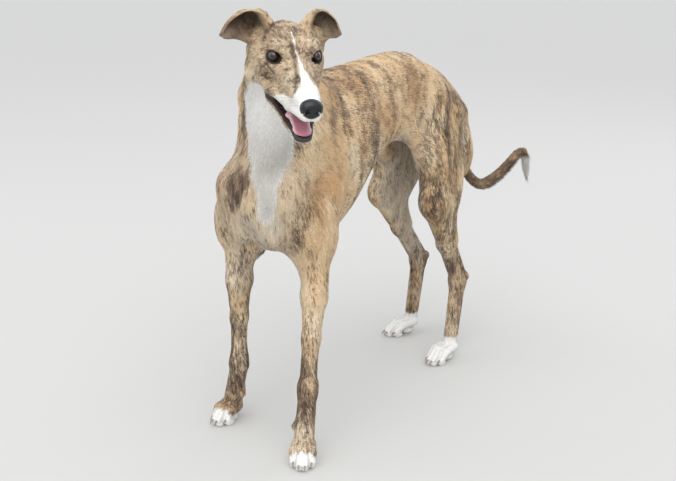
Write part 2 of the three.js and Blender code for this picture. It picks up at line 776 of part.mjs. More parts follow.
function place(name, solid, finish) {
  const mesh = new THREE.Mesh(geometryOf(whole(solid)), new THREE.MeshStandardMaterial(finish));
  mesh.name = name;
  group.add(mesh);
}

const coat = { color: 0xb99a74, roughness: 0.75, metalness: 0 };
const pale = { color: 0xd8d2c8, roughness: 0.75, metalness: 0 };
const leather = { color: 0x2a2c2f, roughness: 0.35, metalness: 0 };
const wet = { color: 0xb8708a, roughness: 0.3, metalness: 0 };
const eyeFinish = { color: 0x2c1c16, roughness: 0.08, metalness: 0 };

// Cuts between the pieces
const neckTop = {
  point: head.point([0, 96, 0]),
  normal: unit(sub([56, -112, 724], head.point([0, 88, -10]))),
};
const neckBase = { point: [0, -58, 650], normal: unit([-0.3, 0.62, -0.72]) };
const elbowHeight = 360;
const stifleHeight = 410;
const loinFront = 215;
const rumpFront = 392;

// Trunk and upper legs from one surface, then parted
const trunkCell = [24, 35, 24];
const trunkWhole = surface(trunkField, body, [-150, -190, 310], [150, 720, 800], trunkCell);
let rest = beyond(trunkWhole, neckBase.point, neckBase.normal);

function quarter(s, inner, low, high, floor, top) {
  const from = s > 0 ? [inner, low, floor] : [-far, low, floor];
  const to = s > 0 ? [far, high, top] : [-inner, high, top];
  return [from, to];
}

function carve(from, to) {
  const piece = rest.intersect(block(add(from, [half, half, half]), sub(to, [half, half, half])));
  rest = rest.subtract(block(sub(from, [half, half, half]), add(to, [half, half, half])));
  return piece;
}

const shoulderPieces = {};
const thighPieces = {};
for (const [name, leg] of Object.entries(foreLegs)) {
  const cut = quarter(leg.side, 50, -far, 92, elbowHeight, 600);
  shoulderPieces[name] = carve(...cut);
}
for (const [name, leg] of Object.entries(hindLegs)) {
  const cut = quarter(leg.side, 34, rumpFront, far, stifleHeight, 640);
  thighPieces[name] = carve(...cut);
}
const forePart = rest.trimByPlane([0, -1, 0], -loinFront + half);
place("chest", forePart.trimByPlane([0, 0, 1], elbowHeight + half), coat);
const middlePart = rest.trimByPlane([0, 1, 0], loinFront + half);
place("loin", middlePart.trimByPlane([0, -1, 0], -rumpFront + half), coat);
const rumpPart = rest.trimByPlane([0, 1, 0], rumpFront + half).trimByPlane([0, 0, 1], stifleHeight + half);
const tailCut = { point: tailLine.getPointAt(0.09).toArray(), normal: tailLine.getTangentAt(0.09).toArray() };
const tailSide = -dot(tailCut.normal, tailCut.point) + half;
place("rump", rumpPart.trimByPlane(times(tailCut.normal, -1), tailSide), coat);
for (const name of Object.keys(foreLegs)) {
  place("shoulder_" + name, shoulderPieces[name], coat);
  place("thigh_" + name, thighPieces[name], coat);
}

// Head, parted into skull, face, muzzle and lower jaw
const headField = fieldOf([...headShapes, ...mouthHollow(), ...eyeShapes]);
const skullFront = 46;
const muzzleRear = -38;
const jawRear = 14;
const jawTilt = Math.atan2(20, 118);
const jawSplit = frameAt(
  head.point([0, 8, -54]),
  head.x,
  head.dir([0, Math.cos(jawTilt), Math.sin(jawTilt)]),
  head.dir([0, -Math.sin(jawTilt), Math.cos(jawTilt)]),
);
const jawBlock = (gap) => block([-90, -200, -120], [90, jawRear - 8 + gap, gap], jawSplit);

// Neck, which takes in the throat behind the jaw
const neckFrame = limbFrame([0, -20, 610], head.point([0, 96, 0]));
const neckWhole = surface(fleshField, neckFrame, [-130, -150, -40], [130, 150, 290], [21, 21, 28]);
let neckPart = beyond(neckWhole, neckTop.point, neckTop.normal);
neckPart = beyond(neckPart, neckBase.point, times(neckBase.normal, -1));
place("neck", neckPart.subtract(jawBlock(half)), coat);

const above = (y) => ({ point: head.point([0, y, 0]), normal: head.y });
const ahead = (y) => ({ point: head.point([0, y, 0]), normal: times(head.y, -1) });
const cutAt = (solid, plane) => beyond(solid, plane.point, plane.normal);

function ball(centre, radius) {
  return solidOf(new THREE.SphereGeometry(radius, 14, 9).translate(...centre));
}

// The almond opening between the lids
function eyeOpening({ centre, gaze, frame }) {
  const axes = [frame.x, frame.y, frame.z].map((a) => new THREE.Vector3(...a));
  const turn = new THREE.Matrix4().makeBasis(...axes);
  const shape = new THREE.SphereGeometry(1, 14, 9).scale(12.8, 8.6, 9.4).applyMatrix4(turn);
  return solidOf(shape.translate(...add(centre, times(gaze, eyeRadius + 0.8))));
}

const skullCell = [11.5, 12, 11.5];
const skullSpan = [[-82, 22, -118], [82, 150, 74]];
let skullPart = surface(headField, head, ...skullSpan, skullCell);
skullPart = beyond(cutAt(skullPart, above(skullFront)), neckTop.point, times(neckTop.normal, -1));
let facePart = surface(headField, head, [-66, -54, -122], [66, 64, 66], [8.1, 9.8, 8.1]);
facePart = beyond(facePart, neckTop.point, times(neckTop.normal, -1));
facePart = cutAt(cutAt(facePart, above(muzzleRear)), ahead(skullFront)).subtract(jawBlock(half));
let muzzlePart = surface(headField, head, [-42, -156, -124], [42, -16, 22], [7.2, 10, 7]);
muzzlePart = cutAt(muzzlePart, ahead(muzzleRear)).subtract(jawBlock(half));
let jawPart = surface(headField, head, [-60, -130, -126], [60, 36, -24], [7.6, 11.5, 6.4]);
jawPart = jawPart.intersect(jawBlock(-half));
const noseSpan = [[-30, -152, -68], [30, -98, -10]];
const nosePart = surface(fieldOf(noseLeather()), head, ...noseSpan, [5.4, 5.6, 5.4]);
muzzlePart = muzzlePart.subtract(surface(fieldOf(noseLeather(), 0.6), head, ...noseSpan, [5.4, 5.6, 5.4]));
const tongueSpan = [[-36, -110, -112], [36, 34, -44]];
const tonguePart = surface(fieldOf(tongueShapes()), head, ...tongueSpan, [8, 11, 5]);
const tongueBed = surface(fieldOf(tongueShapes(), 0.9), head, ...tongueSpan, [8, 11, 5]);
jawPart = jawPart.subtract(tongueBed);
facePart = facePart.subtract(tongueBed);
muzzlePart = muzzlePart.subtract(tongueBed);
for (const [name, s] of [["left", 1], ["right", -1]]) {
  const spot = eyePlace(s);
  place("eye_" + name, ball(spot.centre, eyeRadius), eyeFinish);
  facePart = facePart.subtract(ball(spot.centre, eyeRadius + seam)).subtract(eyeOpening(spot));
}
const skullGrown = surface(fieldOf([...headShapes, ...eyeShapes], earGap), head, ...skullSpan, skullCell);
// Name, side, how far it is spread, and how far its tip is lifted
const earSides = [["left", 1, 0.83, 5], ["right", -1, 0.985, 1.5]];
for (const [name, s, flare, lift] of earSides) {
  const leaf = ear(s, flare, lift);
  const solid = solidFrom(leaf.positions, leaf.indices);
  place("ear_" + name, solid.subtract(skullGrown), coat);
}
place("skull", skullPart, coat);
place("face", facePart, coat);
place("muzzle", muzzlePart, coat);
place("lower_jaw", jawPart, pale);
place("nose", nosePart, leather);
place("tongue", tonguePart, wet);

// Lower legs, each from a surface along the limb
function lowerLeg(joint, end, shapes, top, cell, margin) {
  const frame = limbFrame(end, joint);
  const size = length(sub(joint, end));
  const low = [-margin, -margin, -24];
  const high = [margin, margin, size + 60];
  return surface(fieldOf(shapes), frame, low, high, cell).trimByPlane([0, 0, -1], -top + half);
}

// Claws are cones sunk in the toe's end, and fused
function claws(leg, spread) {
  const frame = pawFrame(leg);
  const reach = Math.hypot(leg.toe[0] - leg.knuckle[0], leg.toe[1] - leg.knuckle[1]);
  return toeRow.map(([across, short]) => {
    const x = across * toeGap * spread;
    const cone = new THREE.ConeGeometry(clawRadius, clawLength, 8);
    cone.rotateX(Math.PI * 1.12); // points forward and a little down
    cone.applyMatrix4(
      new THREE.Matrix4().makeBasis(
        new THREE.Vector3(...frame.x),
        new THREE.Vector3(...frame.y),
        new THREE.Vector3(...frame.z),
      ),
    );
    cone.translate(...frame.point([x, -(reach - short) - 1, 9]));
    return solidOf(cone);
  });
}

function footSolid(leg, joint, shapes, spread, cut) {
  const frame = pawFrame(leg);
  const pawShapes = [...shapes, ...paw(leg, spread)];
  const foot = surface(fieldOf(pawShapes), frame, [-48, -108, -20], [48, 48, 72], [8.2, 12, 8.6]);
  const shinFrame = limbFrame(leg.knuckle, joint);
  const shinHigh = [34, 56, length(sub(joint, leg.knuckle)) + 76];
  const shin = surface(fieldOf(pawShapes), shinFrame, [-34, -56, -34], shinHigh, [11, 12, 26]);
  const low = foot.trimByPlane([0, 0, -1], -45).trimByPlane([0, 0, 1], 0);
  const high = shin.trimByPlane([0, 0, 1], 45 - 0.01);
  let made = low.add(high).trimByPlane(times(cut.normal, -1), -dot(cut.normal, cut.point) + half);
  for (const claw of claws(leg, spread)) made = made.add(claw);
  return made.trimByPlane([0, 0, 1], 0);
}

for (const [name, leg] of Object.entries(foreLegs)) {
  const shapes = foreLeg(leg);
  const cut = { point: add(leg.carpus, [0, 0, 26]), normal: unit(sub(leg.elbow, leg.carpus)) };
  const upperPart = lowerLeg(leg.elbow, leg.carpus, trunkShapes, elbowHeight, [12.5, 13.5, 30], 70);
  place("forearm_" + name, beyond(upperPart, cut.point, cut.normal), coat);
  place("forepaw_" + name, footSolid(leg, leg.carpus, shapes, 1, cut), pale);
}
for (const [name, leg] of Object.entries(hindLegs)) {
  const shapes = hindLeg(leg);
  const cut = { point: add(leg.hock, [0, 0, 44]), normal: [0, 0, 1] };
  const upperPart = lowerLeg(leg.stifle, leg.hock, trunkShapes, stifleHeight, [14, 15, 30], 110);
  place("shank_" + name, beyond(upperPart, cut.point, cut.normal), coat);
  place("hindpaw_" + name, footSolid(leg, leg.hock, shapes, 0.98, cut), pale);
}

// Tail in three lengths
const tailShapes = tail();
const tailParts = [
  ["tail_root", 0.09, 0.42, [9, 9, 22]],
  ["tail_middle", 0.42, 0.74, [9, 9, 18]],
  ["tail_tip", 0.74, 1, [7, 7, 9]],
];
for (const [name, from, to, cell] of tailParts) {
  const a = tailLine.getPointAt(Math.max(from - 0.05, 0)).toArray();
  const b = tailLine.getPointAt(Math.min(to + 0.05, 1)).toArray();
  const frame = limbFrame(a, b);
  const high = [60, 60, length(sub(b, a)) + 30];
  let piece = surface(fieldOf(tailShapes), frame, [-60, -60, -45], high, cell);
  piece = beyond(piece, tailLine.getPointAt(from).toArray(), tailLine.getTangentAt(from).toArray());
  const backward = times(tailLine.getTangentAt(to).toArray(), -1);
  if (to < 1) piece = beyond(piece, tailLine.getPointAt(to).toArray(), backward);
  place(name, piece, coat);
}

// The whole dog is set with the middle of its box on the origin, and its soles on z = 0
const box = new THREE.Box3().setFromObject(group);
const shift = [-(box.min.x + box.max.x) / 2, -(box.min.y + box.max.y) / 2, -box.min.z];
for (const mesh of group.children) mesh.geometry.translate(...shift);

export default group;
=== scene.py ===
import bpy
import math
import numpy as np
from mathutils import Matrix, Vector
from mathutils.kdtree import KDTree


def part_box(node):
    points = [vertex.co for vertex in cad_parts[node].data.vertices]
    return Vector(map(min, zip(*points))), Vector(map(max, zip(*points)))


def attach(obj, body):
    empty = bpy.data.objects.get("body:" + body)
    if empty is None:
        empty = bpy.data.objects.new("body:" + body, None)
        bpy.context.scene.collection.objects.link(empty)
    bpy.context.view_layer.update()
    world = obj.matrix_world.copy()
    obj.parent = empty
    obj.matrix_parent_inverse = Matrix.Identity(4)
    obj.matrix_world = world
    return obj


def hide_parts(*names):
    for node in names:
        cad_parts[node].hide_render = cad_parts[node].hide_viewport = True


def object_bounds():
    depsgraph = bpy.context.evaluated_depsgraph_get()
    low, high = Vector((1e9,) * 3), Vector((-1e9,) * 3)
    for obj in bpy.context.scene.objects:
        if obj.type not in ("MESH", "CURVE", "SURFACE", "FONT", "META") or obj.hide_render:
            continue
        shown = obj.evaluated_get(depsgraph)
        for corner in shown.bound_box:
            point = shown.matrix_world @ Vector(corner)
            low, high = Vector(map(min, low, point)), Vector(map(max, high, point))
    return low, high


# A brindle greyhound, standing with its head turned to its left.
# The body is worked out in millimetres in the dog's own place: it faces -Y, +X is its left
# side and the floor is z = 0. What is made from it is moved onto the frame and into metres.

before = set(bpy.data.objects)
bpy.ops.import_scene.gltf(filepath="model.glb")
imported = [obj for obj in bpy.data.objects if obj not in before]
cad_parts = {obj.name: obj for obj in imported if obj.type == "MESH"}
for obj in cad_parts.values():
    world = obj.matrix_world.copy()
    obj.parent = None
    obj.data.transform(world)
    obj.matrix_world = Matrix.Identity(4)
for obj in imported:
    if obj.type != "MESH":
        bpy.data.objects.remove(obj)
cadLow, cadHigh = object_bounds()
rng = np.random.default_rng(44)
print("stage: frame loaded")


# Small vector helpers

def vec(*values):
    return np.array(values, dtype=float)


def floats(values):
    return np.asarray(values, dtype=float)


def unit(v):
    v = floats(v)
    return v / np.linalg.norm(v)


def lengths(vectors):
    return np.linalg.norm(vectors, axis=-1)[..., None]


def mix(a, b, t):
    return floats(a) * (1 - t) + floats(b) * t


def smooth(low, high, value):
    t = np.clip((value - low) / (high - low), 0, 1)
    return t * t * (3 - 2 * t)


class Place:  # an origin with three axes
    def __init__(self, origin, x, y, z):
        self.origin = floats(origin)
        self.axes = np.array([x, y, z], dtype=float)
        self.x, self.y, self.z = self.axes

    def point(self, p):
        return self.origin + floats(p) @ self.axes

    def direction(self, p):
        return floats(p) @ self.axes

    def local(self, p):
        return (p - self.origin) @ self.axes.T


body = Place((0, 0, 0), (1, 0, 0), (0, 1, 0), (0, 0, 1))


def turnedPlace(origin, yaw, pitch, roll):
    turn = (Matrix.Rotation(math.radians(yaw), 3, "Z")
            @ Matrix.Rotation(math.radians(pitch), 3, "X")
            @ Matrix.Rotation(math.radians(roll), 3, "Y"))
    return Place(origin, *[turn @ Vector(a) for a in ((1, 0, 0), (0, 1, 0), (0, 0, 1))])


# Landmarks, as in the solids
dog = {
    "withers": 700,
    "loin": 722,
    "headAt": (179, -226, 771),
    "headTurn": (48.2, 12.9, 1.1),  # yaw, pitch, roll in degrees
    "eye": (31, 10, -1.4),  # middle of the eyeball, in the head's own place
    "eyeRadius": 12,
    "noseReach": 132,
    "jawReach": 97,
    "toeGap": 11,
}
head = turnedPlace(dog["headAt"], *dog["headTurn"])
legs = {
    "foreLeft": {"side": 1, "shoulder": (62, -86, 506), "elbow": (73, -8, 376),
                 "wrist": (91, -63, 133), "knuckle": (97, -83, 36), "toe": (128, -134, 10)},
    "foreRight": {"side": -1, "shoulder": (-60, -84, 508), "elbow": (-99, -22, 376),
                  "wrist": (-104, -23, 133), "knuckle": (-130, -12, 37), "toe": (-131, -72, 10)},
    "hindLeft": {"side": 1, "hip": (55, 522, 606), "stifle": (78, 434, 392),
                 "hock": (70, 575, 182), "knuckle": (74, 545, 38), "toe": (65, 463, 10)},
    "hindRight": {"side": -1, "hip": (-54, 522, 612), "stifle": (-84, 480, 388),
                  "hock": (-78, 649, 191), "knuckle": (-89, 646, 40), "toe": (-120, 573, 10)},
}
for leg in legs.values():
    for name in [n for n in leg if n != "side"]:
        leg[name] = vec(*leg[name])


def eyePlace(side):
    gaze = unit((side * 0.44, -0.9, 0.12))
    across = unit(np.cross(gaze, (0, 0, 1)))
    tilt = unit(across + vec(0, 0, -side * 0.16))
    up = np.cross(tilt, gaze)
    x, y, z = dog["eye"]
    return Place(head.point((side * x, y, z)), head.direction(tilt), head.direction(gaze), head.direction(up))


# The dog's place on the frame: the left eyeball's middle is the same point in both
eyeLow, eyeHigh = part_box("eye_left")
shift = 500 * (np.array(eyeLow) + np.array(eyeHigh)) - eyePlace(1).origin
shift[2] = 0


def toFrame(points):
    return (floats(points) + shift) / 1000


# Shapes of the flesh: each gives the distance to its surface, and they melt into each other

def smoothMin(a, b, width):
    h = np.maximum(width - np.abs(a - b), 0) / width
    return np.minimum(a, b) - h * h * width / 4


def bar(a, b, ra, rb, blend=14, side=None, wide=1, cut=False):
    a, b = floats(a), floats(b)
    axis = b - a
    square = axis @ axis
    across = None if side is None else unit(np.asarray(side) - axis * (np.dot(side, axis) / square))

    def distance(p):
        d = p - a
        t = np.clip(d @ axis / square, 0, 1)
        q = d - t[:, None] * axis
        if across is not None:
            q = q - ((q @ across) * (1 - 1 / wide))[:, None] * across
        return np.sqrt((q * q).sum(1)) - (ra + (rb - ra) * t)

    return {"centre": (a + b) / 2, "reach": math.sqrt(square) / 2 + max(ra, rb) * max(wide, 1),
            "stretch": max(wide, 1 / wide), "blend": blend, "cut": cut, "distance": distance}


def chain(knots, **options):
    return [bar(p, q, rp, rq, **options) for (p, rp), (q, rq) in zip(knots[:-1], knots[1:])]


def lump(centre, radii, blend=14, place=body, cut=False):
    centre = floats(centre)
    radii = floats(radii)

    def distance(p):
        q = ((p - centre) @ place.axes.T) / radii
        k = np.sqrt((q * q).sum(1)) + 1e-6
        slope = np.sqrt(((q / radii) ** 2).sum(1)) + 1e-9
        return k * (k - 1) / slope

    return {"centre": centre, "reach": radii.max(), "stretch": radii.max() / radii.min(),
            "blend": blend, "cut": cut, "distance": distance}


# Values between stations, on a smooth curve through them
def between(stations, at):
    table = np.array(stations, dtype=float)
    last = len(table) - 1
    i = np.clip(np.searchsorted(table[:, 0], at, side="left") - 1, 0, last - 1)
    before, start = table[np.maximum(i - 1, 0)], table[i]
    end, after = table[i + 1], table[np.minimum(i + 2, last)]
    span = end[:, :1] - start[:, :1]
    t = np.clip((at[:, None] - start[:, :1]) / span, 0, 1)
    rise = end - start
    slopeIn = np.where((i == 0)[:, None], rise,
                       (end - before) * span / np.maximum(end[:, :1] - before[:, :1], 1e-6))
    slopeOut = np.where((i == last - 1)[:, None], rise,
                        (after - start) * span / np.maximum(after[:, :1] - start[:, :1], 1e-6))
    bend = slopeIn * (t - 2 * t * t + t ** 3) + slopeOut * (t ** 3 - t * t)
    return start + rise * (3 * t * t - 2 * t ** 3) + bend


# A body through stations of y, top, widest height, bottom and half width
def loft(stations, place, blend=14, power=2.2, under=None):
    under = under or power
    table = np.array(stations, dtype=float)
    low, high = table[0, 0], table[-1, 0]
    middle = (table[:, 1].max() + table[:, 3].min()) / 2
    size = vec(table[:, 4].max(), (high - low) / 2, table[:, 1].max() - middle)

    def distance(p):
        x, y, z = place.local(p).T
        _, top, widest, bottom, half = between(stations, np.clip(y, low, high)).T
        rise = z - widest
        tall = np.where(rise > 0, top - widest, widest - bottom)
        n = np.where(rise > 0, power, under)
        share = (np.abs(x / half) ** n + np.abs(rise / tall) ** n) ** (1 / n)
        inside = -np.minimum(half, tall)
        around = np.maximum(np.hypot(x, rise) * (1 - 1 / np.maximum(share, 1e-4)), inside)
        beyond = np.maximum(low - y, y - high)
        return np.where(beyond > 0, np.hypot(beyond, np.maximum(around, 0)), np.maximum(around, beyond))

    return {"centre": place.point((0, (low + high) / 2, middle)), "reach": np.linalg.norm(size),
            "stretch": 2, "blend": blend, "cut": False, "distance": distance}


# A thin bent sheet, given by points on its middle with normals and half thicknesses
def leaf(points, normals, halfThick, spacing, blend=6):
    centre = points.mean(0)
    tree = KDTree(len(points))
    for i, point in enumerate(points.tolist()):
        tree.insert(point, i)
    tree.balance()

    def distance(p):
        near = np.array([tree.find(point)[1] for point in p.tolist()])
        off = p - points[near]
        height = (off * normals[near]).sum(1)
        aside = np.sqrt(np.maximum((off ** 2).sum(1) - height ** 2, 0))
        return np.hypot(height, np.maximum(aside - spacing, 0)) - halfThick[near]

    return {"centre": centre, "reach": np.linalg.norm(points - centre, axis=1).max() + 3,
            "stretch": 1, "blend": blend, "cut": False, "distance": distance}


# A soft ridge along a line, or a groove where its height is below nought
def ridge(a, b, height, width):
    a, b = floats(a), floats(b)
    axis = b - a
    square = max(axis @ axis, 1e-6)

    def swell(p):
        t = np.clip((p - a) @ axis / square, 0, 1)
        q = p - a - t[:, None] * axis
        return height * np.exp(-(q * q).sum(1) / width ** 2)

    return {"centre": (a + b) / 2, "reach": math.sqrt(square) / 2 + 2.3 * width, "stretch": 1,
            "blend": 0, "cut": False, "swell": swell}


def joined(points, shapes):
    d = np.full(len(points), 1e3)
    for shape in shapes:
        off = points - shape["centre"]
        away = np.sqrt((off * off).sum(1)) - shape["reach"]
        if "swell" in shape:
            pick = np.nonzero(away <= 0)[0]
            d[pick] -= shape["swell"](points[pick])
            continue
        near = shape["blend"] - d if shape["cut"] else shape["blend"] + d
        pick = np.nonzero(away <= np.maximum(near, 0) * shape["stretch"])[0]
        if not len(pick):
            continue
        s = shape["distance"](points[pick])
        if shape["cut"]:
            d[pick] = -smoothMin(-d[pick], s, shape["blend"])
        else:
            d[pick] = smoothMin(d[pick], s, shape["blend"])
    return d


# Distance to many shapes, block by block of space, so that far shapes cost nothing.
# It is exact to the given margin from the surface, and no less than that beyond it.
def distanceTo(points, shapes, margin=18, block=44):
    result = np.full(len(points), 1e3)
    if not len(points):
        return result
    cell = np.floor(points / block).astype(np.int64) + 512
    key = (cell[:, 0] * 1024 + cell[:, 1]) * 1024 + cell[:, 2]
    order = np.argsort(key, kind="stable")
    edges = np.nonzero(np.diff(key[order]))[0] + 1
    centres = np.array([shape["centre"] for shape in shapes])
    reaches = np.array([shape["reach"] + (shape["blend"] + margin) * shape["stretch"] for shape in shapes])
    for part in np.split(order, edges):
        middle = (cell[part[0]] - 511.5) * block
        close = np.linalg.norm(centres - middle, axis=1) < reaches + block * 0.87
        result[part] = joined(points[part], [shape for shape, c in zip(shapes, close) if c])
    return result


# Distance and its slope, from four samples round each point
def slopeOf(points, shapes, step=0.5):
    corners = np.array([(1, 1, 1), (1, -1, -1), (-1, 1, -1), (-1, -1, 1)]) * step
    values = [distanceTo(points + c, shapes) for c in corners]
    slope = sum(v[:, None] * c for v, c in zip(values, corners)) / (4 * step * step)
    return sum(values) / 4, slope


# Moves points to a height above the surface, in steps that aren't longer than the limit
def settle(points, shapes, limit, rounds=2, height=0):
    for _ in range(rounds):
        d, slope = slopeOf(points, shapes)
        steep = np.maximum((slope ** 2).sum(1), 0.2)
        move = -slope * ((d - height) / steep)[:, None]
        points = points + move * np.minimum(1, limit / np.maximum(lengths(move), 1e-9))
    return points


# Anatomy

trunkForm = {
    "ribs": 8, "ribSpan": 25, "ribHeight": 0.9,
    "stations": [  # y, top, widest height, bottom, half width
        (-116, 560, 506, 456, 30), (-80, 630, 530, 424, 54), (-35, 684, 540, 392, 70),
        (20, 698, 540, 372, 84), (80, 698, 540, 374, 90), (140, 700, 552, 406, 89),
        (195, 704, 574, 456, 82), (260, 712, 600, 502, 73), (320, 719, 614, 527, 65),
        (385, 719, 622, 542, 60), (450, 702, 625, 552, 58), (510, 684, 618, 556, 54),
        (565, 660, 606, 552, 42), (612, 628, 596, 560, 22)],
}


def trunk():
    withers, loin = dog["withers"], dog["loin"]
    shapes = [
        loft(trunkForm["stations"], body, power=2.15, under=1.8, blend=30),
        bar((0, -110, 484), (0, -60, 414), 19, 14, blend=40),  # breastbone
        bar((0, -60, 413), (0, 80, 386), 12, 12, blend=30),  # keel of the chest
        bar((0, 150, withers - 12), (0, 430, loin - 22), 10, 11, blend=26),  # spine
    ]
    for s in (-1, 1):
        shapes += [
            lump((s * 34, -92, 446), (28, 28, 40), blend=26),  # breast muscle
            bar((s * 26, 60, withers - 30), (s * 30, 400, 680), 18, 22, blend=30),  # loin muscle
            lump((s * 38, 445, 666), (18, 30, 20), blend=24),  # point of the hip
            bar((s * 42, 350, 584), (s * 58, 430, 492), 20, 18, blend=34),  # flank fold
        ]
        for i in range(trunkForm["ribs"]):
            y = 42 + i * trunkForm["ribSpan"]
            shapes.append(ridge((s * 80, y, 624), (s * 88, y + 26, 500 + i * 8), trunkForm["ribHeight"], 6))
        shapes += [
            ridge((s * 40, 6, 690), (s * 52, -40, 620), 2.5, 16),  # ridge of the shoulder blade
            ridge((s * 78, 36, 650), (s * 88, 60, 560), -2.5, 20),  # hollow behind it
            ridge((s * 74, 330, 600), (s * 66, 410, 560), -4, 30),  # hollow of the flank
            ridge((s * 22, -118, 470), (s * 26, -112, 420), 2, 14),
        ]
    return shapes + [ridge((0, -130, 480), (0, -112, 420), -2.5, 9)]  # between the breast muscles


def neck():
    nape = head.point((0, 88, -10))
    turned = head.point((-48, 74, -46))  # the outer side of the bend, from the ear down
    shapes = chain([((0, 24, 606), 80), ((2, -30, 630), 73), ((24, -76, 678), 55),
                    ((58, -112, 724), 47), (nape, 40)], blend=34, side=(0.8, 0.6, 0), wide=0.9)
    shapes += [
        bar((0, -84, 524), head.point((0, 66, -30)), 30, 25, blend=44),  # throat
        bar(head.point((-49, 78, -16)), turned, 10, 11, blend=20),
        bar(turned, (-2, -94, 678), 12, 24, blend=26),
    ]
    for s in (-1, 1):  # the long muscle of the neck, and the groove under it
        shapes += [
            ridge(head.point((s * 36, 96, -24)), (s * 44 + 4, -112, 610), 2.5, 15),
            ridge(head.point((s * 26, 92, -62)), (s * 24 + 12, -140, 590), -3, 13),
        ]
    return shapes


def foreLeg(leg):
    s, shoulder, elbow = leg["side"], leg["shoulder"], leg["elbow"]
    wrist, knuckle = leg["wrist"], leg["knuckle"]
    down = lambda t: mix(elbow, wrist, t)
    pastern = mix(wrist, knuckle, 0.7)
    back, across = (0, 1, 0), (1, 0, 0)
    return [
        bar((s * 32, 24, 662), shoulder + (-s * 10, 12, 6), 26, 30, blend=44),
        bar(shoulder, elbow + (-s * 1, -14, 28), 32, 34, blend=34),
        bar((s * 26, -34, 404), down(0.16), 15, 15, blend=26),  # fold of the armpit
        bar((s * 60, 50, 560), elbow + (-s * 4, 20, 22), 32, 20, blend=34),
        lump(elbow + (s * 4, -8, 64), (31, 42, 60), blend=24),  # triceps
        lump(elbow + (s * 2, 20, 10), (13, 13, 20), blend=16),
        bar(elbow + (-s * 2, -4, 16), down(0.3), 26, 22.5, blend=20, side=back, wide=1.12),
        bar(down(0.3), down(0.62), 22.5, 15.5, blend=14, side=back, wide=1.14),
        bar(down(0.62), down(0.94), 15.5, 15, blend=12, side=back, wide=1.12),
        lump(wrist, (17.5, 17, 22), blend=12),
        lump(wrist + (s * 3, 15, 6), (8, 9, 11), blend=8),  # bone and pad behind the wrist
        bar(pastern + (-s * 11, 2, 4), pastern + (-s * 23, -3, -6), 6, 4.5, blend=5),  # dewclaw
        bar(wrist + (0, 0, -8), knuckle, 15, 16.5, blend=12, side=across, wide=1.18),
        ridge(down(0.3) + (-s * 21, 12, 0), down(0.84) + (-s * 13, 10, 0), -2, 6),  # grooves by the bone
        ridge(down(0.26) + (s * 24, 8, 0), down(0.84) + (s * 15, 5, 0), -2, 6),
        ridge(down(0.1) + (s * 20, -16, 0), down(0.5) + (s * 13, -13, 0), 1.5, 8),
        ridge(wrist + (-s * 14.5, -10, 9), wrist + (-s * 14.5, -10, 8), 1.6, 6),
        ridge(wrist + (s * 14.5, -9, -9), wrist + (s * 14.5, -9, -8), 1.4, 6),
        ridge(wrist + (-6, -17, 0), wrist + (6, -17, 0), -1.2, 4),  # fold across the wrist
        *[ridge(wrist + (x * 4, -16, -14), knuckle + (x * 5, -14, 14), 1, 3.5) for x in (-1, 1)],  # tendons
        ridge(shoulder + (s * 30, -4, 16), elbow + (s * 32, 18, 60), -3, 14),  # before the triceps
        ridge(elbow + (s * 34, 30, 110), elbow + (s * 30, 22, 40), 2.5, 16),
    ]


def hindLeg(leg):
    s, hip, stifle, hock, knuckle = leg["side"], leg["hip"], leg["stifle"], leg["hock"], leg["knuckle"]
    down = lambda t: mix(stifle, hock, t)
    back = (0, 1, 0)
    heel = hock + (0, 36, 0)
    return [
        bar(hip + (-s * 10, -56, 10), stifle + (-s * 6, 10, 14), 38, 30, blend=40),
        bar(hip + (-s * 14, 12, -20), stifle + (-s * 8, 58, 12), 42, 33, blend=40),
        bar((s * 34, 592, 566), stifle + (-s * 10, 98, 20), 34, 24, blend=34),
        lump(hip + (-s * 10, 80, -128), (33, 42, 64), blend=30),  # back of the thigh
        lump(stifle + (0, -6, 4), (24, 26, 32), blend=22),  # kneecap
        bar(stifle + (0, 4, -4), down(0.5), 26, 18, blend=22, side=back, wide=1.1),
        bar(down(0.5), hock, 17.5, 14.5, blend=16, side=back, wide=1.06),
        bar(stifle + (-s * 2, 56, -2), down(0.48) + (0, 24, 4), 27, 13, blend=26),
        bar(down(0.46) + (0, 24, 6), heel, 8, 7, blend=14),  # tendon
        lump(hock, (15.5, 19, 21), blend=14),
        bar(hock + (0, 8, -12), heel, 11, 10, blend=12),  # heel bone
        bar(hock + (0, 5, -8), knuckle, 16.5, 14.5, blend=12, side=back, wide=1.28),
        *[ridge(down(0.6) + (x * 11, 17, 0), hock + (x * 9, 18, 12), -3.5, 7) for x in (s, -s)],  # hollow
        ridge(hip + (s * 22, 58, -60), stifle + (s * 28, 64, 24), -4, 15),  # parting down the thigh
        ridge(hip + (s * 30, 0, -30), stifle + (s * 30, 6, 60), 3, 24),
        ridge(stifle + (s * 18, 30, -30), down(0.5) + (s * 14, 14, 0), 1.6, 9),
        ridge(hock + (s * 15, 0, -6), hock + (s * 15, 0, -5), 1.6, 8),
        *[ridge(hock + (x * 4, -17, -30), knuckle + (x * 5, -16, 14), 1, 3.5) for x in (-1, 1)],
    ]


toeRow = [(-1.55, 15, -3), (-0.52, 1, 0), (0.52, 0, 0), (1.55, 14, -3)]  # sideways, short by, lift


def pawPlace(leg):
    ahead = unit((leg["toe"] - leg["knuckle"]) * (1, 1, 0))
    back = -ahead
    return Place(leg["knuckle"] * (1, 1, 0), np.cross(back, (0, 0, 1)), back, (0, 0, 1))


def pawReach(leg):
    return float(np.hypot(*(leg["toe"] - leg["knuckle"])[:2]))


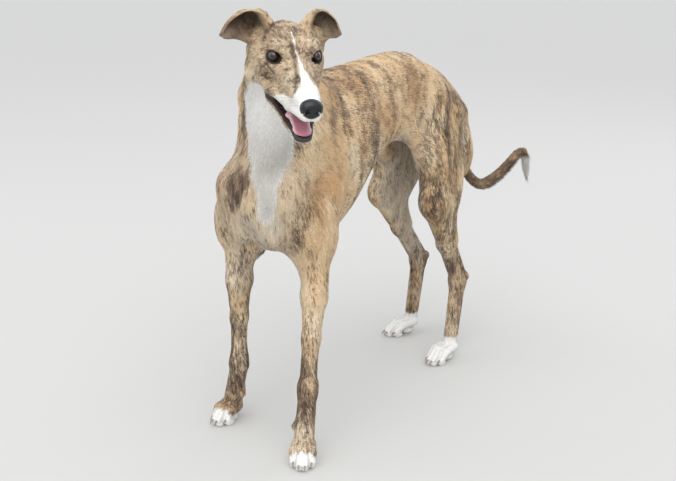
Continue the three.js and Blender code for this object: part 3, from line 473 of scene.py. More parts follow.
def paw(leg):
    place, reach = pawPlace(leg), pawReach(leg)
    at, gap = place.point, dog["toeGap"]
    shapes = [lump(at((0, -reach * 0.2, 9)), (17, 8 + reach * 0.14, 11), blend=8, place=place),
              lump(at((0, -10, 27)), (21, 20, 13), blend=10, place=place)]
    for across, short, lift in toeRow:
        x, tip = across * gap, reach - short
        knee = at((x * 0.95, -tip * 0.56, 30 + lift))
        shapes += [
            bar(at((x * 0.72, -2, 30)), knee, 10.5, 9, blend=5),
            bar(knee, at((x, -tip + 9, 12)), 9, 7.6, blend=3.5),
            lump(at((x, -tip + 14, 6)), (7, 12, 7.5), blend=3, place=place),  # pad
        ]
    for across in (-1.03, 0, 1.03):  # partings of the toes
        x = across * gap
        knee = at((x, -reach * 0.62, 30))
        shapes += [ridge(at((x * 0.92, -14, 38)), knee, -2, 4),
                   ridge(knee, at((x, -reach + 8, 10)), -2.6, 3.6)]
    return shapes


earForm = {  # guide lines for a fully spread ear, in the head's own place
    "inner": [(36, 52, 18), (41, 52, 38), (47, 57, 50), (65, 62, 54), (93, 67, 36), (106, 71, 15)],
    "middle": [(44, 84, 6), (56, 89, 27), (69, 89, 39), (84, 84, 37), (100, 76, 25), (109, 72, 11)],
    "outer": [(44, 66, -14), (58, 60, -3), (72, 59, 5), (86, 63, 8), (100, 68, 6), (106, 71, 8)],
    "left": (1, 29, 0.83, 5),  # side, where it is rooted, how far it is spread, how far its tip is raised
    "right": (-1, 36, 0.985, 1.5),
    "rows": 76,
    "columns": 52,
    "thick": 3.2,
    "fold": [((-8, 60, 22), 8), ((-3, 58, 36), 5.5), ((4, 60, 48), 3.6), ((13, 63, 55), 2.6)],  # rolled edge
}


skullStations = [  # y, top, widest height, bottom, half width
    (-126, -31, -44, -57, 13), (-112, -22, -43, -59, 17), (-88, -16, -39, -58, 20.5),
    (-60, -10, -34, -58, 23.5), (-34, -1, -30, -58, 26), (-12, 12, -22, -56, 28),
    (8, 23, -14, -54, 33), (30, 30, -10, -52, 42), (56, 31, -8, -48, 46),
    (80, 25, -8, -46, 42), (104, 10, -10, -38, 32)]


# Points of the head, on one of its sides
def headSide(s):
    return lambda x, y, z: head.point((s * x, y, z))


def skull():
    at = headSide(1)
    shapes = [loft(skullStations, head, power=2.3, blend=10),
              bar(at(0, 40, 23), at(0, 96, 8), 8, 10, blend=16)]  # ridge of the skull
    ends = [ridge(at(0, -8, 16), at(0, 40, 32), -1.8, 8),  # furrow of the brow
            ridge(at(0, -112, -24), at(0, -40, -3), -0.8, 5)]
    for s, name in ((-1, "right"), (1, "left")):
        at, root = headSide(s), earForm[name][1]
        shapes += [
            bar(at(20, -8, 10), at(32, 14, 16), 7, 9, blend=12),  # brow
            bar(at(31.5, -6, -18), at(42, 36, -14), 8.5, 9, blend=14),  # cheekbone
            lump(at(36.5, 46, -34), (16, 30, 28), blend=20, place=head),  # cheek
            bar(at(30, 48, 12), at(28, 78, 4), 15, 16, blend=16),  # temple
            lump(at(46, 70, 0), (16, 18, 27), blend=18, place=head),  # ear base
            *chain([(at(root + x, y, z), radius) for (x, y, z), radius in earForm["fold"]], blend=8),
            bar(at(9, -120, -52), at(20, -70, -54), 6, 7, blend=8),  # lip
            bar(at(20, -70, -54), at(31, -16, -52), 7, 8, blend=8),
            ridge(at(19, -10, 0), at(20, -56, -16), -2, 10),  # side of the bridge
            ridge(at(30, -14, -18), at(25, -60, -34), -1.6, 10),  # under the eye
            ridge(at(40, 8, -12), at(49, 44, -14), 1.5, 7),  # edge of the cheekbone
            ridge(at(44, 30, 8), at(46, 42, 6), -2, 12),  # hollow of the temple
            ridge(at(20, 6, 20), at(30, 18, 19), 1.5, 7),  # brow
            ridge(at(36, 6, -52), at(30, 8, -74), -1.6, 4),  # fold behind the mouth
        ]
    return shapes + ends


def lowerJaw():
    at, tip = headSide(1), 9 - dog["jawReach"]
    ends = [bar(at(0, tip, -99.5), at(0, -74, -98), 7.5, 7, blend=8),
            bar(at(0, -76, -99), at(0, 8, -77), 5.5, 12, blend=10, side=head.x, wide=1.7),
            bar(at(0, 10, -62), at(0, 70, -40), 22, 30, blend=30)]  # under the throat
    shapes = []
    for s in (-1, 1):
        at = headSide(s)
        middle, rear = at(16, -50, -86), at(31, 4, -64)
        shapes += [bar(at(34, 40, -36), rear, 15, 11, blend=14),
                   bar(rear, middle, 9, 7.5, blend=8, side=head.z, wide=1.3),
                   bar(middle, at(8, tip + 2, -99.5), 7, 6, blend=7, side=head.z, wide=1.25)]
    return shapes + ends


def mouthHollow(cut=True):
    at = headSide(1)
    options = {"blend": 3, "cut": cut, "side": head.x}
    return [bar(at(0, 4, -59), at(0, -60, -76), 4.5, 10, wide=5.2, **options),
            bar(at(0, -60, -76), at(0, -136, -88), 10, 22, wide=2.2, **options)]


def lids(s):
    place = eyePlace(s)
    at, around = place.point, dog["eyeRadius"] + 1.8
    folds = [((-11, 10, 7), (-2, 13, 10.4), -1.1), ((-2, 13, 10.4), (10, 9, 8.6), -1.1),
             ((-9, 11, -8.6), (8, 11, -9), 0.8), ((-s * 13, 10, -1), (-s * 17, 9, -3), -1)]
    opening = place.origin + place.y * (dog["eyeRadius"] + 0.8)
    return [
        *[ridge(at(a), at(b), height, 2.6) for a, b, height in folds],
        lump(place.origin, (around + 0.6, around, around), blend=7, place=place),
        lump(opening, (12.8, 8.6, 9.4), blend=1.6, place=place, cut=True),
    ]


def noseShapes():
    at, tip = headSide(1), -dog["noseReach"]
    sides = headSide(-1), at
    return [
        lump(at(0, tip + 10, -35), (15.5, 12, 11), blend=5, place=head),
        lump(at(0, tip + 8, -45), (12, 9.5, 9), blend=6, place=head),
        *[lump(to(9.5, tip + 9, -39), (8, 10.5, 9.5), blend=5, place=head) for to in sides],
        *[bar(to(7.2, tip - 1, -40), to(13.5, tip + 6, -45), 3.2, 1.6, blend=2, cut=True) for to in sides],
        bar(at(0, tip - 3, -34), at(0, tip, -56), 0.9, 0.9, blend=2, cut=True),
    ]


def tongueShapes():
    at, tip = headSide(1), -dog["jawReach"]
    across = {"side": head.x, "blend": 6}
    middle = at(0, -46, -79)
    return [bar(at(0, 0, -66), middle, 6, 5.4, wide=3, **across),
            bar(middle, at(0, tip + 21, -91), 5.4, 4.4, wide=3.1, **across),
            lump(at(0, tip + 16, -93), (13.6, 14.5, 4.6), blend=5, place=head),
            bar(at(0, -8, -60), at(0, tip + 13, -87), 0.9, 0.7, blend=3, cut=True)]


# A smooth run through a few points, evenly spaced along it when asked
def curve(points, steps, even=False):
    p = floats(points)
    p = np.vstack([2 * p[0] - p[1], p, 2 * p[-1] - p[-2]])
    fine = steps * 12 if even else steps
    t = np.linspace(0, len(p) - 3 - 1e-9, fine)
    i = t.astype(int)
    f = (t - i)[:, None]
    a, b, c, d = p[i], p[i + 1], p[i + 2], p[i + 3]
    ab, bc, cd = [np.sqrt(lengths(v)) for v in (b - a, c - b, d - c)]
    slopeIn = ((b - a) / ab - (c - a) / (ab + bc) + (c - b) / bc) * bc
    slopeOut = ((c - b) / bc - (d - b) / (bc + cd) + (d - c) / cd) * bc
    run = (b * (2 * f ** 3 - 3 * f ** 2 + 1) + c * (3 * f ** 2 - 2 * f ** 3)
           + slopeIn * (f ** 3 - 2 * f ** 2 + f) + slopeOut * (f ** 3 - f ** 2))
    if not even:
        return run
    length = np.append(0, np.cumsum(np.linalg.norm(np.diff(run, axis=0), axis=1)))
    at = np.linspace(0, length[-1], steps)
    return np.stack([np.interp(at, length, run[:, axis]) for axis in range(3)], -1)


tailForm = {
    "line": [(0, 590, 622), (4, 640, 566), (12, 672, 486), (22, 696, 414), (36, 740, 378), (48, 800, 386),
             (56, 858, 410), (61, 902, 432), (64, 930, 432), (66, 942, 406), (67, 950, 368)],
    "steps": 34,
}
tailLine = curve(tailForm["line"], tailForm["steps"], even=True)


def tail():
    t = np.linspace(0, 1, len(tailLine))
    radius = 19 - 12 * np.minimum(t / 0.35, 1) + 4 * np.sin(math.pi * np.clip((t - 0.2) / 0.75, 0, 1))
    radius = np.where(t > 0.97, 4, radius)
    return chain(list(zip(tailLine, radius)), blend=5)


def earSheet(name):
    s, root, flare, lift = earForm[name]
    rows, columns = earForm["rows"], earForm["columns"]
    lines = []
    for line in ("inner", "middle", "outer"):
        p = np.array(earForm[line], dtype=float)
        spread = p[:, 0] - 36
        p[:, 0] = s * (root + spread * flare)
        p[:, 2] += lift * spread / 70
        lines.append(curve(head.point(p), rows))
    v = np.linspace(-1, 1, columns)
    a, b, c = [line[:, None, :] for line in lines]
    w = v[None, :, None]
    sheet = a * (w * w - w) / 2 + b * (1 - w * w) + c * (w * w + w) / 2
    along = np.gradient(sheet, axis=0)
    across = np.gradient(sheet, axis=1)
    normal = np.cross(along, across)
    normal /= lengths(normal) + 1e-9
    u = np.linspace(0, 1, rows)[:, None]
    thick = earForm["thick"] * (0.55 + 0.45 * np.sqrt(np.clip(1 - v * v, 0, 1)))[None, :] * (1.25 - 0.5 * u)
    return sheet, normal, thick / 2


def ear(name, least=0):
    sheet, normal, halfThick = earSheet(name)
    thick = np.maximum(halfThick.ravel(), least)
    return [leaf(sheet.reshape(-1, 3), normal.reshape(-1, 3), thick, 0.9, blend=9)]


groups = {"head": skull() + lowerJaw(), "neck": neck(), "trunk": trunk(), "tail": tail(),
          "earLeft": ear("left"), "earRight": ear("right")}
for name, leg in legs.items():
    groups[name] = (foreLeg if "wrist" in leg else hindLeg)(leg) + paw(leg)
eyeLids = lids(-1) + lids(1)


# The whole flesh. The first net is made with stouter ears, so that its faces catch them.
def fleshWith(ears):
    names = ("trunk", "neck", *legs, "tail", "head")
    shapes = [shape for name in names for shape in groups[name] if "swell" not in shape] + ears
    shapes += mouthHollow() + eyeLids
    return shapes + [shape for name in names for shape in groups[name] if "swell" in shape]


flesh = fleshWith(groups["earLeft"] + groups["earRight"])
print("stage: anatomy,", len(flesh), "shapes")


# Surfaces from the shapes

skinForm = {
    "step": 2.6,  # size of a face, halved on the head and paws and again round the eyes and mouth
    "low": (-175, -345, -5), "high": (290, 975, 852),
    "headReach": 152, "pawReach": 62, "eyeReach": 25, "mouthReach": 7,
}


# Points and four-sided faces where the distance is zero, on a grid
def netOf(shapes, low, high, step, coarse=4, rounds=1):
    low, high = floats(low), floats(high)
    big = step * coarse
    n = np.ceil((high - low) / big).astype(int)
    axes = [low[a] + (np.arange(n[a]) + 0.5) * big - step / 2 for a in range(3)]
    grid = np.stack(np.meshgrid(*axes, indexing="ij"), -1).reshape(-1, 3)
    band = big * 1.25 + step
    rough = distanceTo(grid, shapes, margin=band + 2)
    values = rough.reshape(n).astype(np.float32)
    for axis in range(3):
        values = np.repeat(values, coarse, axis)
    cell = np.stack(np.unravel_index(np.nonzero(np.abs(rough) < band)[0], n), -1) * coarse
    offsets = np.stack(np.meshgrid(*[np.arange(coarse)] * 3, indexing="ij"), -1).reshape(-1, 3)
    spots = (cell[:, None, :] + offsets[None]).reshape(-1, 3)
    values[spots[:, 0], spots[:, 1], spots[:, 2]] = distanceTo(low + spots * step, shapes, margin=4)
    for edge in (0, -1):
        values[edge], values[:, edge], values[:, :, edge] = step, step, step
    inside = values < 0
    size = values.shape
    cells, hits = [], []
    for axis in range(3):
        ahead, behind = [slice(None)] * 3, [slice(None)] * 3
        ahead[axis], behind[axis] = slice(1, None), slice(None, -1)
        i = np.stack(np.nonzero(inside[tuple(ahead)] != inside[tuple(behind)]), -1)
        j = i.copy()
        j[:, axis] += 1
        a, b = values[tuple(i.T)].astype(float), values[tuple(j.T)].astype(float)
        hit = i + (a / (a - b))[:, None] * (j - i)
        ring = []
        for p, q in ((0, 0), (1, 0), (1, 1), (0, 1)):
            k = i.copy()
            k[:, (axis + 1) % 3] -= p
            k[:, (axis + 2) % 3] -= q
            ring.append(np.ravel_multi_index(tuple(k.T), size))
        ring = np.stack(ring, -1)
        ring[a > 0] = ring[a > 0][:, ::-1]
        cells.append(ring)
        hits.append(np.repeat(hit[:, None, :], 4, 1))
    cells, hits = np.concatenate(cells), np.concatenate(hits)
    faces = np.unique(cells.ravel(), return_inverse=True)[1].reshape(-1)
    count = np.bincount(faces)
    hits = hits.reshape(-1, 3)
    points = np.stack([np.bincount(faces, hits[:, a]) for a in range(3)], -1) / count[:, None]
    return settle(low + points * step, shapes, step * 0.4, rounds), faces.reshape(-1, 4)


# Splits the chosen four-sided faces in four. Their neighbours get the new points as corners.
def refine(points, faces, chosen, others):
    pairs = np.sort(np.stack([faces, np.roll(faces, -1, 1)], -1), -1)
    key = pairs[..., 0] * len(points) + pairs[..., 1]
    split, where = np.unique(key[chosen], return_inverse=True)
    where = where.reshape(-1, 4) + len(points)
    middles = (points[split // len(points)] + points[split % len(points)]) / 2
    picked = faces[chosen]
    centres = points[picked].mean(1)
    centre = len(points) + len(middles) + np.arange(len(picked))
    small = [np.stack([picked[:, k], where[:, k], centre, where[:, k - 1]], -1) for k in range(4)]
    kept, keptKey = faces[~chosen], key[~chosen]
    touched = np.isin(keptKey, split)
    mixed = touched.any(1)
    for face, edge, hit in zip(kept[mixed], keptKey[mixed], touched[mixed]):
        ring = []
        for k in range(4):
            ring.append(int(face[k]))
            if hit[k]:
                ring.append(int(np.searchsorted(split, edge[k])) + len(points))
        others.append(ring)
    points = np.concatenate([points, middles, centres])
    return points, np.concatenate([kept[~mixed]] + small)


# A mesh object from points in millimetres, equal faces, and other faces of any kind
def meshOf(name, points, faces, others=()):
    mesh = bpy.data.meshes.new(name)
    faces = np.asarray(faces)
    sizes = np.concatenate([np.full(len(faces), faces.shape[1]), [len(ring) for ring in others]])
    sizes = sizes.astype(np.int32)
    corners = np.concatenate([faces.ravel()] + [np.array(ring) for ring in others]).astype(np.int32)
    mesh.vertices.add(len(points))
    mesh.vertices.foreach_set("co", toFrame(points).astype(np.float32).ravel())
    mesh.loops.add(len(corners))
    mesh.loops.foreach_set("vertex_index", corners)
    mesh.polygons.add(len(sizes))
    mesh.polygons.foreach_set("loop_start", (np.cumsum(sizes) - sizes).astype(np.int32))
    mesh.update(calc_edges=True)
    mesh.shade_smooth()
    piece = bpy.data.objects.new(name, mesh)
    bpy.context.scene.collection.objects.link(piece)
    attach(piece, "root")
    return piece


def setValues(piece, name, values):
    kind, field = ("FLOAT_VECTOR", "vector") if np.ndim(values) == 2 else ("FLOAT", "value")
    attribute = piece.data.attributes.new(name, kind, "POINT")
    attribute.data.foreach_set(field, np.asarray(values, dtype=np.float32).ravel())


stout = fleshWith(ear("left", 2.1) + ear("right", 2.1))
points, faces = netOf(stout, skinForm["low"], skinForm["high"], skinForm["step"])
print("stage: skin net,", len(points), "points")
others = []


def nearTo(points, spots, reach):
    return np.min([np.linalg.norm(points - spot, axis=1) for spot in spots], axis=0) < reach


def onFace(points):
    return nearTo(points, [head.point((0, 10, -10))], skinForm["headReach"])


pawSpots = [pawPlace(leg).point((0, -pawReach(leg) * 0.5, 14)) for leg in legs.values()]
eyeSpots = [eyePlace(s).point((0, 10, 0)) for s in (-1, 1)]


def fineParts(points):
    return onFace(points) | nearTo(points, pawSpots, skinForm["pawReach"])


def finestParts(points):
    face = onFace(points)
    close = nearTo(points, eyeSpots, skinForm["eyeReach"])
    close[face] |= np.abs(distanceTo(points[face], mouthHollow(cut=False))) < skinForm["mouthReach"]
    return close


for choose, step in ((fineParts, skinForm["step"] / 2), (finestParts, skinForm["step"] / 4)):
    inside = choose(points)
    points, faces = refine(points, faces, inside[faces].all(1), others)
    inside = np.nonzero(choose(points))[0]
    points[inside] = settle(points[inside], flesh, step, rounds=2)
points[:, 2] = np.maximum(points[:, 2], 0)  # soles stand flat
print("stage: skin refined,", len(points), "points", len(faces), "faces")

skin = meshOf("skin", points, faces, others)
mesh = skin.data
normals = np.empty(len(points) * 3, dtype=np.float32)
mesh.vertices.foreach_get("normal", normals)
normals = normals.reshape(-1, 3).astype(float)


# What each place on the skin is, which way its hair lies, and what colours it carries

markForm = {
    "edge": 5,  # softness of a marking's edge, in millimetres
    "overlap": 9,  # how softly one part of the body gives way to the next
    "neckBase": (0, -20, 610),
    "chestTurn": -40,  # ahead of this the stripes of the sides run round the chest
    "chestRound": 90,
    "strokes": [  # thin dark lines of the face, with half their width
        (((-27, 54, 36), 3), ((-38, 46, 26), 3.6), ((-45, 39, 16), 3.2), ((-48, 38, 6), 2)),
        (((-8, 6, 21), 2.4), ((-7, -21, 7), 3.4), ((-11, -62, -13), 3.8), ((-17, -88, -26), 2.8)),
        (((-43, 2, -14), 2.6), ((-36, -14, -22), 3.4)),
        (((-49, 18, -35), 3.2), ((-38, 6, -38), 2.6)),
        (((-55, 34, -30), 1.8), ((-49, 24, -52), 1.8))],
}


def inPatch(points, shapes, edge=markForm["edge"]):
    return 1 - smooth(-edge, edge, distanceTo(points, shapes, margin=edge + 2))


def atHead(*knots, blend=4):
    return chain([(head.point(spot), radius) for spot, radius in knots], blend=blend)


def sharesOf(points):
    away = {}
    for name, shapes in groups.items():
        solid = [shape for shape in shapes if "swell" not in shape]
        away[name] = np.minimum(distanceTo(points, solid, margin=40), 60)
    least = np.min(list(away.values()), axis=0)
    share = {name: np.exp(-(d - least) / markForm["overlap"]) for name, d in away.items()}
    total = sum(share.values())
    return {name: value / total for name, value in share.items()}


def both(share, kind):
    return share[kind + "Left"] + share[kind + "Right"]


neckAxis = unit(head.point((0, 88, -10)) - vec(*markForm["neckBase"]))
neckAcross = unit(np.cross(neckAxis, (0, 0, 1)))
neckPlace = Place(markForm["neckBase"], neckAcross, neckAxis, np.cross(neckAcross, neckAxis))


def nearestOf(line, points):
    off = points[:, None, :] - line[None]
    return (off ** 2).sum(2).argmin(1)


# Which points lie on an ear, how much, and the place of its sheet that is nearest to each
def onEar(name, points, share, least=0.02):
    earShare = share["ear" + name.title()]
    part = earShare > least
    near = nearestOf(earSheet(name)[0].reshape(-1, 3)[::3], points[part]) * 3
    return part, earShare[part], near


def hairFlow(points, normals, share):
    flow = np.zeros_like(points)
    ahead = smooth(-20, -90, points[:, 1])[:, None]
    hips = smooth(470, 600, points[:, 1])[:, None]
    side = mix(mix((0, 1, -0.3), (0, 0.1, -1), ahead), (0, 0.45, -1), hips)
    flow += share["trunk"][:, None] * side
    flow += share["neck"][:, None] * (-neckAxis + vec(0, 0, -0.25))
    local = head.local(points)
    off = local[:, 0] * 0.012  # the hair parts along the middle of the skull
    crown = vec(0, 1, -0.1) + np.stack([off, 0 * off, -np.abs(off)], -1)
    flow += share["head"][:, None] * (crown @ head.axes)
    for name, leg in legs.items():
        foot = smooth(70, 30, points[:, 2])[:, None] * (points[:, 2] < 80)[:, None]
        along = mix((0, 0.28, -1), -pawPlace(leg).y + vec(0, 0, -0.35), foot)
        flow += share[name][:, None] * along
    tailward = np.gradient(tailLine, axis=0)
    part = share["tail"] > 0.02
    flow[part] += share["tail"][part, None] * tailward[nearestOf(tailLine, points[part])] * 0.1
    for name in ("left", "right"):
        part, amount, near = onEar(name, points, share)
        along = np.gradient(earSheet(name)[0], axis=0).reshape(-1, 3)
        flow[part] += amount[:, None] * along[near] * 0.6
    flow -= (flow * normals).sum(1)[:, None] * normals
    return flow / (lengths(flow) + 1e-6)


def weaveOf(points):
    x, y, z = points.T
    turn = markForm["chestTurn"]
    angle = np.arctan2(np.maximum(turn - y, 0), np.abs(x) + 20)
    along = np.maximum(y, turn) - angle * markForm["chestRound"]
    return np.stack([along, x / 6, z / 6 + along * 0.03], -1) / 1000


def neckWeave(points):
    across, along, deep = neckPlace.local(points).T
    return np.stack([across, along / 7, deep], -1) / 1000


def whiteMarks(points):
    throatTop = ((88, -172, 698), 40)
    chest = chain([throatTop, ((66, -142, 674), 47), ((45, -118, 628), 47), ((42, -108, 590), 36),
                   ((40, -118, 548), 24), ((46, -124, 510), 17), ((40, -122, 476), 15)], blend=10)
    throat = chain([throatTop, (head.point((6, 22, -98)), 18), (head.point((0, -14, -94)), 17),
                    (head.point((0, -96, -100)), 16)], blend=10)
    face = atHead(((-3, 30, 30), 0.8), ((-2, 8, 22), 1.1), ((-2, -14, 13), 1.5), ((0.5, -35, 0), 2.9),
                  ((2, -57, -9), 5.2), ((2, -84, -18), 10), ((2, -118, -32), 24))  # blaze
    for s in (-1, 1):  # lips
        face += atHead(((s * 16, -110, -44), 18), ((s * 22, -82, -50), 13), ((s * 27, -48, -55), 9),
                       ((s * 31, -12, -57), 6))
    face += atHead(((12, -88, -32), 15), ((11, -112, -38), 18))
    marks = np.maximum(inPatch(points, chest, 9), inPatch(points, throat, 14))
    marks = np.maximum(marks, inPatch(points, face, 2.5))
    muzzle = smooth(-82, -96, head.local(points)[:, 1]) * onFace(points)
    sandy = inPatch(points, atHead(((-25, -20, -32), 9), ((-25, -50, -29), 11), ((-23, -80, -31), 7)), 3)
    marks = np.maximum(marks, muzzle) * (1 - sandy)
    feet = [bar(tailLine[-1], tailLine[-4], 14, 12)]  # with the tip of the tail
    for leg in legs.values():
        at, reach = pawPlace(leg).point, pawReach(leg)
        tall, up = (16, 0.42) if "wrist" in leg else (26, 0.3)
        feet.append(bar(at((0, -reach * up, tall * 0.4)), at((0, -reach - 4, 6)), 29, 26, blend=1))
        if "hock" in leg:
            feet.append(bar(at((0, 14, 12)), at((0, -34, 16)), 46, 38, blend=1))
    return np.maximum(marks, inPatch(points, feet, 5))


# Painted shade on the white: greyer low on the breast, and along the jaw and lips, where shade falls
def paintedShadeOnWhiteMarks(points):
    breast = smooth(670, 560, points[:, 2]) * smooth(300, 400, points[:, 2])
    jowl = inPatch(points, atHead(((-34, 44, -74), 24), ((-24, 6, -76), 20)), 16)
    flews = inPatch(points, atHead(((-31, -12, -56), 9), ((-27, -52, -53), 11), ((-23, -80, -49), 11)), 8)
    return np.maximum(breast, np.maximum(0.85 * jowl, 0.55 * flews))


# Where the streaks stand closer, or further apart where it is below nought
def darkMarks(points, share):
    _, y, z = points.T
    fore, hind = both(share, "fore"), both(share, "hind")
    dark = fore * 0.16 * smooth(330, 230, z) - 0.36 * share["foreLeft"] * smooth(170, 230, z)
    dark *= smooth(60, 90, z)
    dark += fore * 0.44 * np.exp(-((z - 128) / 46) ** 2)  # wrists
    dark += hind * (0.06 + 0.22 * np.exp(-((z - 215) / 70) ** 2) + 0.16 * smooth(330, 420, z))
    dark += share["tail"] * 0.55 * smooth(960, 900, y)
    breast = [bar((-46, -128, 545), (-30, -128, 490), 15, 18), bar((66, -112, 520), (84, -60, 470), 15, 18),
              bar((80, -88, 480), (76, -66, 400), 13, 10), bar((-8, -132, 546), (-12, -130, 500), 13, 12)]
    dark += 0.55 * inPatch(points, breast, 12)
    dark += share["trunk"] * (-0.05 + 0.08 * np.exp(-((y - 120) / 70) ** 2))
    dark -= 0.7 * smooth(575, 625, y) * smooth(330, 420, z) * (1 - share["tail"])  # back of the thighs
    return np.clip(dark, -0.6, 0.9)


# Where the tan fades to grey: painted shade under the belly and on the inner faces of the legs, picked by
# which way the skin faces, and the coat's own grey on the breast and the shins
def greyMarks(points, normals, share):
    _, y, z = points.T
    # painted shade where the skin faces down
    under = smooth(-0.35, -0.9, normals[:, 2]) * share["trunk"]
    # painted shade on the faces of the legs that turn inward, between them
    inner = np.zeros(len(points))
    for name in ("hindLeft", "hindRight"):
        inner += share[name] * smooth(0.1, -0.6, normals[:, 0] * legs[name]["side"]) * smooth(150, 260, z)
    for name in ("foreLeft", "foreRight"):
        inward = smooth(0.2, -0.6, normals[:, 0] * legs[name]["side"])
        inner += 0.7 * share[name] * inward * smooth(240, 320, z)
    breast = [lump((-6, -122, 450), (26, 22, 22)), lump((48, -114, 456), (22, 22, 24)),
              bar((20, -110, 420), (20, -40, 385), 22, 22)]
    front = 0.5 * smooth(-50, -100, y) * smooth(640, 560, z) * smooth(380, 420, z)
    shins = 0.4 * (both(share, "fore") + both(share, "hind")) * smooth(300, 180, z)
    return np.clip(under + inner + front + shins + 0.8 * inPatch(points, breast, 10), 0, 1)


# Black skin and strokes: rims of the eyes, lips, and the thin dark lines of the face
def inkMarks(points):
    eyes = [lump(place.point((0, dog["eyeRadius"] + 0.8, 0)), (18, 20, 10.8), place=place, blend=1)
            for place in (eyePlace(-1), eyePlace(1))]
    rim = distanceTo(points, mouthHollow(cut=False), margin=14)
    _, y, z = head.local(points).T
    middle = np.interp(y, (-136, -60, 4), (-86, -76, -59))  # of the open mouth
    floor = np.interp(y, (-136, -60, 4), (-110, -86, -63.5))
    lower = smooth(1, -1, z - middle)
    ahead = 7 * smooth(-76, -92, y)
    lip = smooth(-4 - ahead, -2.5 - ahead, z - floor) * lower
    lips = smooth(11, 9, rim) * lip + smooth(3.8, 2.2, rim) * (1 - lower)
    ink = np.maximum(inPatch(points, eyes, 1.1), lips)
    strokes = [shape for knots in markForm["strokes"] for shape in atHead(*knots)]
    return np.maximum(ink, 0.78 * inPatch(points, strokes, 2.4))


def insideMouth(points):
    return smooth(1.3, 0.4, distanceTo(points, mouthHollow(cut=False), margin=6))


def innerEar(points, normals, share):
    inner = np.zeros(len(points))
    for name in ("left", "right"):
        part, amount, near = onEar(name, points, share, least=0.05)
        out = earSheet(name)[1].reshape(-1, 3)[near]
        facing = -(normals[part] * out).sum(1) * earForm[name][0]
        inner[part] = amount * smooth(-0.1, 0.4, facing)
    return inner


# The ears' own paler tips, and a painted highlight where the right ear folds
def earTipsAndFoldHighlight(points, share):
    tips = inPatch(points, (atHead(((-109, 71, 14), 18), ((-96, 66, 26), 12))
                            + atHead(((97, 66, 30), 13), ((92, 71, 14), 13))), 8)
    # painted highlight on the fold of the right ear
    pale = inPatch(points, atHead(((-72, 74, 44), 7), ((-74, 76, 52), 5)), 5)
    return np.clip(both(share, "ear") * (tips + 0.8 * pale), 0, 1)


# Painted shade: the deep black at the bottom of each ear, where its hollow lies in shadow
def earHollowShade(points):
    deep = atHead(((-50, 68, 28), 12), ((-56, 70, 44), 10)) + atHead(((44, 68, 28), 10), ((50, 70, 42), 9))
    return inPatch(points, deep, 7)


def marksOf(points, normals, share):
    white, grey = whiteMarks(points), greyMarks(points, normals, share)
    inner = innerEar(points, normals, share)
    nearThigh = share["hindRight"] * smooth(200, 300, points[:, 2])
    return {
        "spot": points / 1000, "weave": weaveOf(points), "neckWeave": neckWeave(points),
        "onTrunk": share["trunk"], "onNeck": share["neck"],
        "onLegs": both(share, "fore") + both(share, "hind"),
        "onHead": share["head"], "onEars": both(share, "ear"), "onTail": share["tail"],
        # the white is greyed by painted shade low on the breast and along the jaw and lips
        "white": white, "dusk": white * paintedShadeOnWhiteMarks(points),
        "dark": darkMarks(points, share) - 0.55 * grey * nearThigh, "grey": grey,
        # besides the black skin of eyes, lips and face lines, this lays painted shade deep in each ear
        "ink": np.maximum(inkMarks(points), 0.9 * inner * earHollowShade(points)),
        # the ear tips' own colour, with a painted highlight on the right ear's fold
        "mouth": insideMouth(points), "innerEar": inner, "earTip": earTipsAndFoldHighlight(points, share),
    }


skinShare = sharesOf(points)
skinMarks = marksOf(points, normals, skinShare)
skinFlow = hairFlow(points, normals, skinShare)
for name, values in skinMarks.items():
    setValues(skin, name, values)
print("stage: markings laid on the skin")


# Materials

def linear(hexColour):
    parts = [int(hexColour[i:i + 2], 16) / 255 for i in (0, 2, 4)]
    return tuple(c / 12.92 if c <= 0.04045 else ((c + 0.055) / 1.055) ** 2.4 for c in parts) + (1,)


# Sockets are linked, and anything else is the input's own value
def setInputs(node, inputs):
    for key, value in inputs.items():
        if isinstance(value, bpy.types.NodeSocket):
            node.id_data.links.new(value, node.inputs[key])
        else:
            node.inputs[key].default_value = value


# Adds a node with its settings and links, and gives one of its outputs
def addNode(tree, kind, inputs=None, out=0, **settings):
    node = tree.nodes.new("ShaderNode" + kind)
    for name, value in settings.items():
        setattr(node, name, value)
    setInputs(node, inputs or {})
    return node.outputs[out]


def newMaterial(name):
    material = bpy.data.materials.new(name)
    material.use_nodes = True
    tree = material.node_tree
    return material, tree, tree.nodes["Principled BSDF"]


# Lays colours over a first one, each by its share
def layered(tree, colour, *layers):
    for share, hexColour in layers:
        colour = addNode(tree, "Mix", {"Factor": share, 6: colour, 7: linear(hexColour)}, 2,
                         data_type="RGBA")
    return colour


# Painted light among these colours: the grey-white is painted shade on the white, the grey also paints shade
# under the belly and inside the legs, the near-black also paints shade deep in the ears, and the ear tips'
# colour also paints a highlight on the right ear's fold
coatColours = {
    "tan": "dcbd94", "paleTan": "efdcbd", "deepTan": "caa377", "grey": "c0b4a3", "streak": "776250",
    "darkStreak": "3b2e26", "white": "f4f2ee", "dusk": "bdb8ae", "ink": "1b1716", "innerEar": "3d342e",
    "earTip": "8d7768", "gum": "3c2226", "redBrown": "94704f", "face": "c9b599",
}
